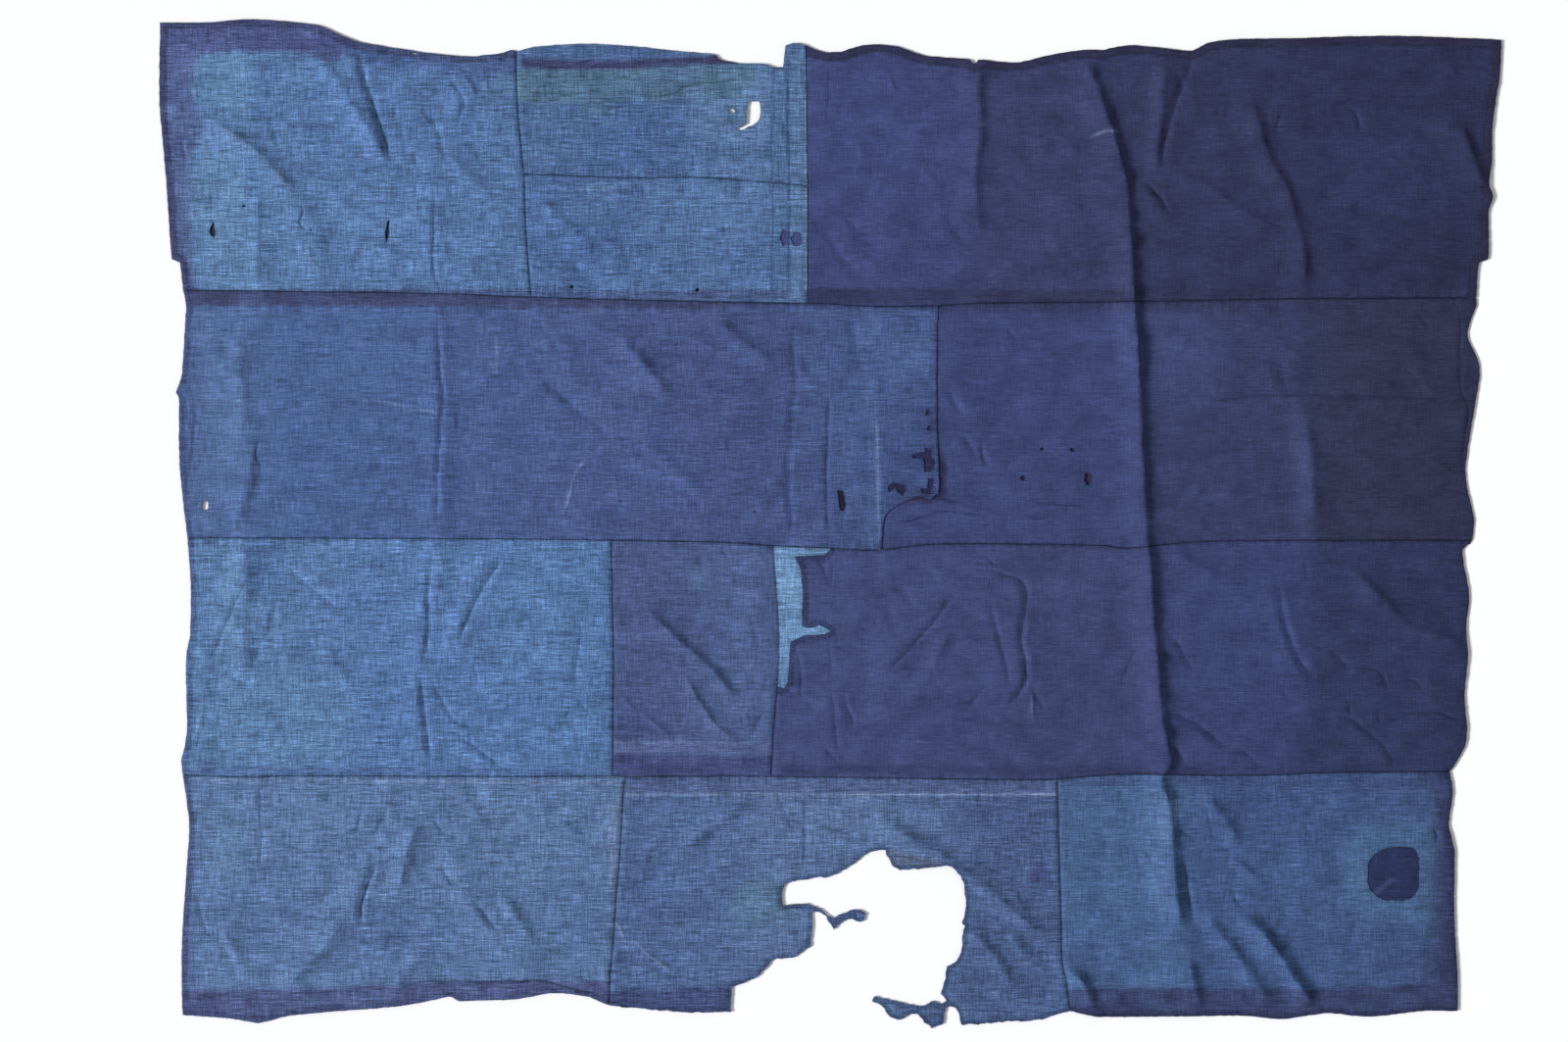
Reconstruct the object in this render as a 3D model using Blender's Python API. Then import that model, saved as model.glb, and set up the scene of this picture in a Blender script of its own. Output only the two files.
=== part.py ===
"""A boro cloth: four strips of indigo cotton, pieced and mended, lying on a flat surface.

Places in the tables are in millimetres on the cloth as it lies, seen from above. `across` runs from the left
end of the cloth to the right, and `down` from its top to its bottom. The finished part is in metres, with +X to
the right, +Y to the top and +Z up, and its origin is under the middle of its box.
"""

import math

import bpy
from mathutils import Matrix, Vector
from mathutils.geometry import delaunay_2d_cdt

MM = 0.001
THICK = 1.2  # a panel of doubled, felted cotton with its seam allowances
PATCH_THICK = 1.0
GAP = 0.3  # between neighbouring pieces
LAP_LIFT = PATCH_THICK + 0.7  # how far a piece that lies over another is raised
LAP_FULL = 10  # the raised level reaches this far past the piece below
LAP_FOOT = 36  # and is down on the surface again this far past it
SEAM_STEP = 20  # longest side of an outline
SPINE_STEP = 30  # along the crest of a fold
SIDE_STEP = 27  # along the feet of a fold
FLAT_STEP = 75  # between points on the flat cloth
NEAR = 9  # no point is set nearer than this to another
SHARPEST = 0.35  # an outline's corner is inset as if it were no sharper than this
ROUND_POWER = 3.5  # 2 would make the round patch an oval, and more makes it squarer

# The edges and seams that run across the cloth, from left to right. Each row is a place (across, down).
ACROSS = {
    "top": (
        (2, 4), (60, 4), (118, 0), (186, 5), (214, 11), (250, 27), (324, 40), (388, 47), (430, 44), (451, 39),
        (456, 41), (480, 35), (538, 31), (599, 34), (659, 40), (709, 45), (716, 51), (735, 55), (772, 57),
        (784, 61), (796, 62), (799, 34), (810, 30), (825, 33), (846, 41), (871, 41), (898, 33), (938, 34),
        (977, 46), (1034, 51), (1038, 56), (1042, 56), (1045, 51), (1092, 55), (1138, 45), (1179, 39),
        (1204, 39), (1239, 33), (1317, 40), (1331, 33), (1360, 26), (1450, 24), (1569, 21), (1712, 26),
    ),
    "a2_a3": ((466, 197), (599, 202), (697, 202), (827, 212)),
    "a_b": (
        (31, 345), (339, 349), (475, 354), (616, 358), (782, 361), (827, 362), (857, 363), (915, 366),
        (994, 365), (1051, 362), (1240, 360), (1459, 356), (1680, 355),
    ),
    "b_c": (
        (37, 661), (122, 661), (397, 662), (577, 664), (707, 666), (771, 670), (783, 671), (857, 674),
        (869, 675), (922, 676), (992, 669), (1136, 669), (1210, 671), (1235, 674), (1324, 666), (1441, 664),
        (1675, 664),
    ),
    "c_d": (
        (31, 963), (126, 966), (167, 964), (447, 965), (579, 964), (595, 965), (781, 965), (1087, 969),
        (1146, 968), (1241, 962), (1376, 964), (1500, 960), (1646, 959),
    ),
    "bottom": (
        (31, 1269), (96, 1274), (129, 1279), (161, 1271), (209, 1266), (285, 1260), (326, 1255), (372, 1246),
        (383, 1251), (456, 1249), (495, 1242), (522, 1242), (551, 1247), (575, 1257), (610, 1260), (662, 1265),
        (730, 1265),
    ),
    "bottom_right": (
        (1024, 1282), (1086, 1277), (1126, 1274), (1162, 1264), (1196, 1271), (1287, 1271), (1379, 1270),
        (1434, 1274), (1489, 1267), (1544, 1271), (1614, 1264), (1656, 1264),
    ),
}

# The edges and seams that run down the cloth.
DOWN = {
    "a1_left": ((2, 4), (1, 102), (6, 162), (11, 222), (17, 306), (27, 310), (31, 345)),
    "b1_left": ((31, 345), (35, 361), (32, 422), (29, 456), (22, 475), (26, 484), (27, 570), (37, 661)),
    "c1_left": ((37, 661), (41, 720), (40, 785), (35, 815), (36, 909), (29, 944), (31, 963)),
    "d1_left": ((31, 963), (39, 1026), (36, 1079), (30, 1174), (30, 1247), (31, 1269)),
    "a1_a2": ((456, 41), (457, 100), (461, 150), (466, 197)),
    "a1_a3": ((466, 197), (468, 260), (475, 354)),
    "a2_end": ((825, 33), (826, 100), (827, 212)),
    "a3_end": ((827, 212), (827, 362)),
    "a4_left": ((825, 33), (822, 38), (805, 39), (803, 66), (783, 68), (781, 200), (782, 361)),
    "a4_right": (
        (1712, 26), (1710, 71), (1701, 133), (1700, 179), (1696, 211), (1701, 226), (1696, 244), (1695, 306),
        (1684, 310), (1680, 355),
    ),
    "b1_end": (
        (994, 365), (992, 406), (992, 512), (994, 604), (972, 609), (949, 616), (929, 629), (924, 640),
        (922, 676),
    ),
    "b2_left": ((857, 363), (853, 500), (857, 674)),
    "b2_right": (
        (1680, 355), (1680, 366), (1669, 401), (1684, 442), (1680, 481), (1669, 549), (1667, 586), (1677, 637),
        (1675, 664),
    ),
    "c1_c2": ((577, 664), (579, 759), (580, 819), (579, 964)),
    "c2_c3": ((783, 671), (786, 714), (790, 774), (789, 850)),
    "c2_c3_low": ((789, 850), (784, 910), (781, 965)),
    "c3_tear": (
        (857, 674), (849, 683), (810, 685), (818, 701), (821, 737), (821, 774), (843, 773), (857, 780),
        (846, 784), (821, 786), (806, 793), (802, 844), (796, 854), (789, 850),
    ),
    "c3_right": (
        (1675, 664), (1662, 676), (1671, 735), (1667, 770), (1669, 815), (1665, 861), (1667, 920), (1646, 959),
    ),
    "d1_d2": ((595, 965), (592, 996), (589, 1055), (584, 1115), (580, 1174), (576, 1221), (575, 1257)),
    "d2_d3": ((1146, 968), (1148, 1050), (1151, 1150), (1152, 1200), (1157, 1225), (1162, 1264)),
    "d3_right": (
        (1646, 959), (1650, 985), (1645, 1029), (1652, 1059), (1652, 1142), (1656, 1216), (1656, 1264),
    ),
    "pale_left": ((771, 670), (773, 760), (771, 861)),
    "pale_right": ((869, 675), (870, 790)),
}

# The big tear in the fourth row, from the torn hem at its left, round the tongue with its rag strip, over the
# top, and down past the hem scrap to the torn hem at its right.
TEAR = (
    (730, 1265), (730, 1234), (749, 1227), (766, 1217), (784, 1197), (807, 1196), (832, 1182), (834, 1137),
    (845, 1139), (855, 1150), (861, 1160), (870, 1151), (882, 1146), (894, 1150), (900, 1148), (902, 1140),
    (893, 1135), (884, 1135), (870, 1141), (859, 1146), (850, 1139), (842, 1132), (832, 1130), (825, 1127),
    (795, 1130), (797, 1106), (801, 1100), (831, 1095), (859, 1091), (884, 1077), (900, 1065), (915, 1059),
    (927, 1059), (929, 1066), (936, 1080), (949, 1084), (977, 1082), (1005, 1079), (1017, 1086), (1025, 1099),
    (1029, 1124), (1027, 1142), (1024, 1151), (1029, 1155), (1024, 1171), (1024, 1186), (1017, 1199),
    (1005, 1207), (1002, 1224), (997, 1242), (1004, 1250), (999, 1255), (986, 1251), (974, 1257), (961, 1256),
    (934, 1250), (912, 1245), (910, 1251), (921, 1257), (931, 1270), (945, 1276), (955, 1270), (967, 1267),
    (974, 1276), (986, 1286), (1000, 1280), (1003, 1261), (1008, 1257), (1017, 1262), (1022, 1276),
    (1024, 1282),
)
# The lower end of the patch behind the F-shaped tear, from its right corner to its left one.
PALE_FOOT = ((870, 790), (862, 801), (818, 806), (812, 861), (771, 861))

# The holes that go through a panel, as outlines. Those over a lower piece show that piece.
HOLES = {
    "panel_a2": (
        ((752, 105), (765, 105), (767, 110), (766, 126), (757, 135), (739, 142), (737, 139), (749, 133)),
        ((727, 116), (731, 113), (735, 117), (731, 121)),
    ),
    "panel_a3": (
        ((796, 268), (803, 271), (803, 286), (797, 289), (792, 281)),
        ((812, 271), (819, 273), (821, 283), (818, 290), (809, 288), (806, 279)),
    ),
    "panel_b1": (
        ((57, 613), (62, 614), (63, 622), (60, 628), (56, 624)),
        (
            (961, 554), (977, 551), (977, 546), (986, 547), (985, 554), (989, 563), (988, 572), (984, 577),
            (976, 577), (975, 559), (962, 559),
        ),
        ((981, 585), (987, 585), (986, 597), (984, 604), (973, 604), (972, 598), (980, 597)),
        ((930, 595), (936, 592), (954, 593), (953, 601), (948, 607), (943, 603), (939, 598), (931, 603)),
        ((865, 600), (872, 601), (876, 616), (873, 628), (868, 622)),
    ),
    "panel_d3": (
        (
            (1541, 1088), (1543, 1074), (1552, 1062), (1572, 1055), (1596, 1055), (1605, 1061), (1607, 1078),
            (1607, 1103), (1602, 1116), (1590, 1122), (1564, 1122), (1550, 1115), (1541, 1101),
        ),
    ),
}

# Where one piece lies over another: the upper pieces, and the box of the lower one's covered part as
# (across, down) of its first corner and of its last. The boxes run on past a seam that ends the covered part.
LAPS = (
    (("panel_a2", "panel_a3"), (782, 0), (828, 400)),
    (("panel_b1",), (854, 330), (996, 700)),
    (("panel_c2", "panel_c3"), (771, 640), (870, 861)),
    (("panel_d3",), (1530, 1044), (1618, 1133)),
)

# The main folds. A fold is a soft ridge, low at its ends: its crest runs through the places given, from its
# top end to its bottom one, and goes on past an edge where the fold does. `lit` is the width of its side to the
# left of the crest, `shade` of its side to the right, and `high` its height.
# crest, lit, shade, high
FOLDS = (
    (
        (
            (1175, 20), (1217, 155), (1236, 244), (1245, 389), (1259, 656), (1279, 889), (1299, 1121),
            (1330, 1290),
        ),
        42, 17, 8,
    ),
    (((1286, 20), (1282, 100), (1275, 205)), 20, 30, 7),
    (((1247, 205), (1293, 260)), 24, 12, 5),
    (((1386, 70), (1407, 161), (1425, 201), (1450, 259), (1462, 380)), 34, 16, 5),
    (((1640, 105), (1669, 172), (1704, 240)), 30, 16, 6),
    (((1044, 20), (1044, 180), (1050, 300)), 30, 24, 4),
    (((229, 20), (262, 80), (292, 195)), 34, 16, 7),
    (((40, 118), (110, 158), (172, 225), (196, 280), (222, 345)), 30, 22, 7),
    (((362, 30), (388, 109), (386, 155)), 20, 16, 5),
    (((345, 105), (364, 162), (410, 215), (450, 240)), 22, 16, 4),
    (((136, 190), (130, 344), (108, 500), (104, 690)), 20, 18, 4),
    (((350, 180), (356, 372), (362, 650), (342, 755), (329, 820), (336, 861), (346, 990)), 22, 15, 5),
    (((470, 365), (510, 410), (578, 500)), 24, 16, 5),
    (((455, 435), (521, 490), (575, 531), (592, 560)), 22, 15, 5),
    (((580, 380), (627, 442), (672, 490)), 20, 14, 4),
    (((695, 372), (766, 416), (820, 452)), 24, 16, 5),
    (((596, 522), (642, 566), (686, 607), (706, 650)), 24, 16, 5),
    (((1000, 440), (1030, 490), (1070, 560)), 22, 15, 4),
    (((1452, 470), (1465, 549), (1478, 670)), 24, 15, 4),
    (((1500, 470), (1590, 486), (1700, 488)), 16, 18, 4),
    (((120, 662), (89, 764), (50, 850)), 24, 16, 6),
    (((170, 690), (150, 746), (104, 850)), 20, 14, 5),
    (((450, 664), (406, 726), (392, 761), (365, 840)), 24, 16, 6),
    (((350, 880), (400, 925), (452, 975)), 24, 16, 5),
    (((605, 728), (679, 807), (748, 872)), 26, 16, 6),
    (((660, 822), (706, 897), (755, 935)), 20, 14, 4),
    (((1030, 712), (970, 787), (905, 856)), 26, 17, 6),
    (((1096, 700), (1104, 802), (1107, 837), (1072, 900)), 22, 16, 5),
    (((1416, 690), (1435, 746), (1450, 815), (1480, 860)), 24, 16, 5),
    (((1275, 870), (1317, 894), (1372, 940)), 20, 14, 4),
    (((1505, 685), (1569, 741), (1647, 794), (1690, 830)), 24, 16, 5),
    (((1490, 876), (1524, 894), (1575, 950)), 20, 14, 4),
    (((280, 1040), (270, 1096), (259, 1126), (256, 1180)), 26, 14, 8),
    (((350, 1000), (324, 1044), (315, 1079), (294, 1160)), 24, 16, 6),
    (((340, 1000), (367, 1046), (400, 1120), (435, 1167), (472, 1215)), 26, 16, 8),
    (((400, 1085), (441, 1129), (485, 1185)), 20, 14, 5),
    (((250, 1130), (224, 1167), (185, 1211), (155, 1256)), 22, 14, 5),
    (((345, 1185), (290, 1265)), 20, 14, 4),
    (((768, 980), (715, 1016), (648, 1080)), 26, 16, 6),
    (((900, 990), (961, 1046), (1030, 1096)), 24, 16, 6),
    (((985, 1052), (1070, 1117), (1135, 1175)), 26, 17, 7),
    (((1020, 1145), (1060, 1190), (1100, 1240)), 24, 16, 6),
    (((1146, 1180), (1177, 1224), (1206, 1290)), 26, 14, 9),
    (((1325, 988), (1361, 1025), (1400, 1070)), 22, 14, 5),
    (((1322, 1120), (1379, 1194), (1432, 1265)), 22, 15, 5),
    (((1368, 1130), (1434, 1201), (1480, 1275)), 22, 15, 8),
)

# Each panel between its upper and lower edges and its left and right ones, and its colour on a screen.
# node, upper edge, from, to, lower edge, from, to, left edges, right edges, colour
PANELS = (
    ("panel_a1", "top", 2, 456, "a_b", 31, 475, ("a1_left",), ("a1_a2", "a1_a3"), (85, 115, 161)),
    ("panel_a2", "top", 456, 825, "a2_a3", 466, 827, ("a1_a2",), ("a2_end",), (80, 106, 149)),
    ("panel_a3", "a2_a3", 466, 827, "a_b", 475, 827, ("a1_a3",), ("a3_end",), (80, 107, 152)),
    ("panel_a4", "top", 825, 1712, "a_b", 782, 1680, ("a4_left",), ("a4_right",), (54, 60, 98)),
    ("panel_b1", "a_b", 31, 994, "b_c", 37, 922, ("b1_left",), ("b1_end",), (72, 92, 139)),
    ("panel_b2", "a_b", 857, 1680, "b_c", 857, 1675, ("b2_left",), ("b2_right",), (56, 63, 100)),
    ("panel_c1", "b_c", 37, 577, "c_d", 31, 579, ("c1_left",), ("c1_c2",), (86, 117, 164)),
    ("panel_c2", "b_c", 577, 783, "c_d", 579, 781, ("c1_c2",), ("c2_c3", "c2_c3_low"), (74, 89, 131)),
    ("panel_c3", "b_c", 857, 1675, "c_d", 781, 1646, ("c3_tear", "c2_c3_low"), ("c3_right",), (59, 68, 108)),
    ("panel_d1", "c_d", 31, 595, "bottom", 31, 575, ("d1_left",), ("d1_d2",), (88, 114, 156)),
    ("panel_d3", "c_d", 1146, 1646, "bottom_right", 1162, 1656, ("d2_d3",), ("d3_right",), (66, 86, 127)),
)
TORN_COLOUR = (78, 100, 141)
PALE_COLOUR = (103, 137, 177)
ROUND_COLOUR = (44, 53, 87)
ROUND_PATCH = (1574, 1088, 43, 44)  # centre across and down, half its width and half its height

BOX_LEFT, BOX_RIGHT, BOX_TOP, BOX_BOTTOM = 1, 1712, 0, 1286


def smooth(points, step=SEAM_STEP):
    """The points with a smooth curve's points between them, so that no side is longer than the step."""
    ends = (points[0], *points, points[-1])
    path = []
    for before, start, end, after in zip(ends, ends[1:], ends[2:], ends[3:]):
        parts = max(1, math.ceil(math.dist(start, end) / step))
        for part in range(parts):
            t = part / parts
            path.append(
                tuple(
                    b + 0.5 * t * (c - a + t * (2 * a - 5 * b + 4 * c - d + t * (3 * (b - c) + d - a)))
                    for a, b, c, d in zip(before, start, end, after)
                )
            )
    return [*path, tuple(points[-1])]


def stretch(edge, start, end):
    """The stretch of an across edge between two of its table's places, named by how far across they are."""
    table = ACROSS[edge]
    path = smooth(table)
    first = path.index(next(place for place in table if place[0] == start))
    last = path.index(next(place for place in table if place[0] == end))
    return path[first : last + 1]


def down(edges):
    """The down edges named, end to end."""
    path = []
    for edge in edges:
        path += smooth(DOWN[edge])
    return path


def inset(outline, by):
    """The closed outline moved inwards, with its repeated points dropped."""
    loop = [p for i, p in enumerate(outline) if math.dist(p, outline[i - 1]) > 1e-6]
    area = sum(a[0] * b[1] - b[0] * a[1] for a, b in zip(loop, loop[1:] + loop[:1]))
    side = math.copysign(by, area)
    moved = []
    for before, here, after in zip(loop[-1:] + loop[:-1], loop, loop[1:] + loop[:1]):
        first = (Vector(here) - Vector(before)).normalized()
        second = (Vector(after) - Vector(here)).normalized()
        inward = Vector((-first.y - second.y, first.x + second.x))
        reach = max(inward.length_squared / 2, SHARPEST)
        moved.append(tuple(Vector(here) + inward * side / reach))
    return moved


def inside(place, loop):
    """Whether the place is within the closed loop."""
    across, below = place
    within = False
    for (x0, y0), (x1, y1) in zip(loop[-1:] + loop[:-1], loop):
        if (y0 > below) != (y1 > below) and across < x0 + (below - y0) * (x1 - x0) / (y1 - y0):
            within = not within
    return within


def to_segment(place, start, end):
    """How far along the segment the place's foot is, from 0 to 1, and its offset, positive to the right."""
    run = (end[0] - start[0], end[1] - start[1])
    off = (place[0] - start[0], place[1] - start[1])
    length = math.hypot(*run)
    along = max(0.0, min(1.0, (off[0] * run[0] + off[1] * run[1]) / length**2))
    distance = math.hypot(off[0] - along * run[0], off[1] - along * run[1])
    return along, math.copysign(distance, off[0] * run[1] - off[1] * run[0])


def spines():
    """Each fold's crest as a smooth path, with its widths and height."""
    return [(smooth(crest, SPINE_STEP), lit, shade, high) for crest, lit, shade, high in FOLDS]


def ease(share):
    """0 to 1 as the share goes from 0 to 1, flat at both ends."""
    share = max(0.0, min(1.0, share))
    return share * share * (3 - 2 * share)


def fold_height(place, folds):
    """The folds at this place, blended so that two that cross don't stack."""
    total = 0.0
    for path, lit, shade, high in folds:
        reach = max(lit, shade)
        if not (min(p[0] for p in path) - reach < place[0] < max(p[0] for p in path) + reach):
            continue
        if not (path[0][1] - reach < place[1] < path[-1][1] + reach):
            continue
        best = min(
            (abs(offset), part + along, offset)
            for part, (a, b) in enumerate(zip(path, path[1:]))
            for along, offset in [to_segment(place, a, b)]
        )
        share = 1 - best[0] / (shade if best[2] > 0 else lit)
        spans = len(path) - 1
        end = min(best[1], spans - best[1]) / max(1.0, min(spans / 3, 3))
        if share > 0:
            total += (high * ease(share) * ease(end)) ** 3
    return total ** (1 / 3)


def lap(place, first, last):
    """1 over and near the covered box, falling to 0 at the foot of the raised cloth."""
    past = math.hypot(
        max(first[0] - place[0], 0, place[0] - last[0]), max(first[1] - place[1], 0, place[1] - last[1])
    )
    return max(0.0, min(1.0, (LAP_FOOT - past) / (LAP_FOOT - LAP_FULL)))


def underside(name, place, folds):
    """How high the underside of this piece lies at this place."""
    height = fold_height(place, folds)
    lift = 0.0
    for uppers, first, last in LAPS:
        share = lap(place, first, last)
        height *= 1 - share
        if name in uppers:
            lift = max(lift, LAP_LIFT * share)
    return height + lift


def box_path(first, last, past):
    """A rectangle round the box, past it on each side, as a path of points."""
    corners = (
        (first[0] - past, first[1] - past), (last[0] + past, first[1] - past),
        (last[0] + past, last[1] + past), (first[0] - past, last[1] + past),
    )
    path = []
    for start, end in zip(corners, corners[1:] + corners[:1]):
        parts = math.ceil(math.dist(start, end) / SIDE_STEP)
        path += [tuple(s + (e - s) * i / parts for s, e in zip(start, end)) for i in range(parts)]
    return path


def add_material(name, colour):
    """Plain cotton in the photo's colour, given as it would be on a screen."""
    material = bpy.data.materials.new(name)
    material.use_nodes = True
    shader = material.node_tree.nodes["Principled BSDF"]
    linear = [((value / 255 + 0.055) / 1.055) ** 2.4 for value in colour]
    shader.inputs["Base Color"].default_value = (*linear, 1)
    shader.inputs["Roughness"].default_value = 0.9
    shader.inputs["Metallic"].default_value = 0.0
    material.diffuse_color = (*linear, 1)
    return material


def sheet(name, outline, colour, folds, thick=THICK):
    """A closed sheet of cloth inside the outline, on the folds, with its holes cut through."""
    outer = inset(outline, GAP / 2)
    holes = [list(hole) for hole in HOLES.get(name, ())]
    points = list(outer)
    edges = [(i, (i + 1) % len(outer)) for i in range(len(outer))]
    for hole in holes:
        first = len(points)
        points += hole
        edges += [(first + i, first + (i + 1) % len(hole)) for i in range(len(hole))]
    buckets = {}

    def keep(place):
        buckets.setdefault((place[0] // NEAR, place[1] // NEAR), []).append(place)

    def crowded(place):
        column, row = place[0] // NEAR, place[1] // NEAR
        return any(
            math.dist(place, other) < NEAR
            for i in (-1, 0, 1)
            for j in (-1, 0, 1)
            for other in buckets.get((column + i, row + j), ())
        )

    rims = [outer, *holes]
    for rim in rims:
        for start, end in zip(rim[-1:] + rim[:-1], rim):
            parts = math.ceil(math.dist(start, end) / (NEAR / 2))
            for part in range(parts):
                keep(tuple(s + (e - s) * part / parts for s, e in zip(start, end)))

    def free(place):
        return not crowded(place) and inside(place, outer) and not any(inside(place, hole) for hole in holes)

    for path, *_ in folds:
        before = None
        for place in path:
            if free(place):
                points.append(place)
                if before is not None:
                    edges.append((before, len(points) - 1))
                before = len(points) - 1
            else:
                before = None
        for place in points[len(outer) :]:
            if place in path:
                keep(place)
    for path, lit, shade, _ in folds:
        for (x0, y0), (x1, y1) in zip(path, path[1:]):
            length = math.hypot(x1 - x0, y1 - y0)
            right = ((y1 - y0) / length, (x0 - x1) / length)
            for width in (-lit, shade):
                place = (x0 + right[0] * width, y0 + right[1] * width)
                if free(place):
                    points.append(place)
                    keep(place)
    for uppers, first, last in LAPS:
        if name in uppers:
            for past in (LAP_FULL, LAP_FOOT):
                for place in box_path(first, last, past):
                    if free(place):
                        points.append(place)
                        keep(place)
    for row in range(math.ceil(BOX_BOTTOM / FLAT_STEP) + 1):
        for column in range(math.ceil(BOX_RIGHT / FLAT_STEP) + 1):
            place = ((column + row % 2 / 2) * FLAT_STEP, row * FLAT_STEP)
            if free(place):
                points.append(place)
                keep(place)

    flat = [Vector(place) for place in points]
    places, _, faces, *_ = delaunay_2d_cdt(flat, edges, [], 0, 1e-5)
    kept = []
    for face in faces:
        middle = tuple(sum(places[i][axis] for i in face) / 3 for axis in (0, 1))
        if inside(middle, outer) and not any(inside(middle, hole) for hole in holes):
            kept.append(face)

    count = len(places)
    low = [underside(name, (place.x, place.y), folds) for place in places]
    middle_across = (BOX_LEFT + BOX_RIGHT) / 2
    middle_down = (BOX_TOP + BOX_BOTTOM) / 2
    verts = [
        ((place.x - middle_across) * MM, (middle_down - place.y) * MM, (height + lift) * MM)
        for lift in (0, thick)
        for place, height in zip(places, low)
    ]
    # The table's places are counted downwards, so a face that turns one way there turns the other way here.
    upper = [tuple(i + count for i in reversed(face)) for face in kept]
    walls = {}
    for face in kept:
        for a, b in zip(face, face[1:] + face[:1]):
            if (b, a) in walls:
                del walls[(b, a)]
            else:
                walls[(a, b)] = True
    sides = [(b, a, a + count, b + count) for a, b in walls]
    mesh = bpy.data.meshes.new(name)
    mesh.from_pydata(verts, [], [tuple(face) for face in kept] + upper + sides)
    mesh.validate()
    mesh.materials.append(add_material(name, colour))
    cloth = bpy.data.objects.new(name, mesh)
    bpy.context.scene.collection.objects.link(cloth)
    return cloth


def rounded(centre_across, centre_down, half_width, half_height, points=20):
    """A rounded square, as a patch is cut."""
    loop = []
    for i in range(points):
        angle = 2 * math.pi * i / points
        cosine, sine = math.cos(angle), math.sin(angle)
        reach = (abs(cosine) ** ROUND_POWER + abs(sine) ** ROUND_POWER) ** (-1 / ROUND_POWER)
        loop.append((centre_across + half_width * reach * cosine, centre_down + half_height * reach * sine))
    return loop


for old in list(bpy.data.objects):
    bpy.data.objects.remove(old, do_unlink=True)

all_folds = spines()
pieces = []
for node, upper, u0, u1, lower, l0, l1, left, right, tone in PANELS:
    outline = stretch(upper, u0, u1) + down(right) + stretch(lower, l0, l1)[::-1] + down(left)[::-1]
    pieces.append(sheet(node, outline, tone, all_folds))

hem = stretch("bottom", 575, 730) + list(TEAR) + stretch("bottom_right", 1024, 1162)
torn = stretch("c_d", 595, 1146) + down(["d2_d3"]) + hem[::-1] + down(["d1_d2"])[::-1]
pieces.append(sheet("panel_d2", torn, TORN_COLOUR, all_folds))

pale = stretch("b_c", 771, 869) + down(["pale_right"]) + list(PALE_FOOT) + down(["pale_left"])[::-1]
pieces.append(sheet("pale_patch", pale, PALE_COLOUR, all_folds, PATCH_THICK))
pieces.append(sheet("round_patch", rounded(*ROUND_PATCH), ROUND_COLOUR, all_folds, PATCH_THICK))

# The tables' middle is a fraction of a millimetre off, so the origin is set exactly under the box's middle.
corners = [vertex.co for piece in pieces for vertex in piece.data.vertices]
middle = Vector((
    (min(corner.x for corner in corners) + max(corner.x for corner in corners)) / 2,
    (min(corner.y for corner in corners) + max(corner.y for corner in corners)) / 2,
    min(corner.z for corner in corners),
))
for piece in pieces:
    piece.data.transform(Matrix.Translation(-middle))
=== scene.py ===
import math

import bmesh
import bpy
import numpy as np
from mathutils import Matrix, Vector
from mathutils.bvhtree import BVHTree
from mathutils.geometry import delaunay_2d_cdt
from mathutils.kdtree import KDTree


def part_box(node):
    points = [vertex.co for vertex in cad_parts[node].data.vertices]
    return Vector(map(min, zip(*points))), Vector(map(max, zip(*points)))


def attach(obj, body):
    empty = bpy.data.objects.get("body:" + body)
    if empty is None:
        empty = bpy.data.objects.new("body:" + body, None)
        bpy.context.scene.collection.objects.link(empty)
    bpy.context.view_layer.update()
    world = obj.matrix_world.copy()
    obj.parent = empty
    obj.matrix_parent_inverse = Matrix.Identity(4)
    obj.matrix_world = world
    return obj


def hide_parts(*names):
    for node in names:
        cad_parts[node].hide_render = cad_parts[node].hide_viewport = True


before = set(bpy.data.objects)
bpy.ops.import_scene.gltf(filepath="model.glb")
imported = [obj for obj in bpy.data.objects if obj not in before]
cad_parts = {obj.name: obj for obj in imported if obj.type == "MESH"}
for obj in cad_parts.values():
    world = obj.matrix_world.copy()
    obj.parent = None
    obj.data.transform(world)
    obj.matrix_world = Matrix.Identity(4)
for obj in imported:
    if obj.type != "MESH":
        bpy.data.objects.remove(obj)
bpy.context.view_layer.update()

# The view. The cloth is spread out flat and seen from straight above, a little left of its middle.
# Places on the cloth are in millimetres from its upper left corner, `across` to the right and `down`.
middle_across = 856.5
middle_down = 643.0
view_across = 797.5
view_down = 639.4
view_height = 3.5
view_width = 2.0
camera = bpy.data.objects.new("camera", bpy.data.cameras.new("camera"))
bpy.context.scene.collection.objects.link(camera)
camera.location = ((view_across - middle_across) / 1000, (middle_down - view_down) / 1000, view_height)
camera.data.sensor_width = 36
camera.data.lens = 36 * view_height / view_width
bpy.context.scene.camera = camera

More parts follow.
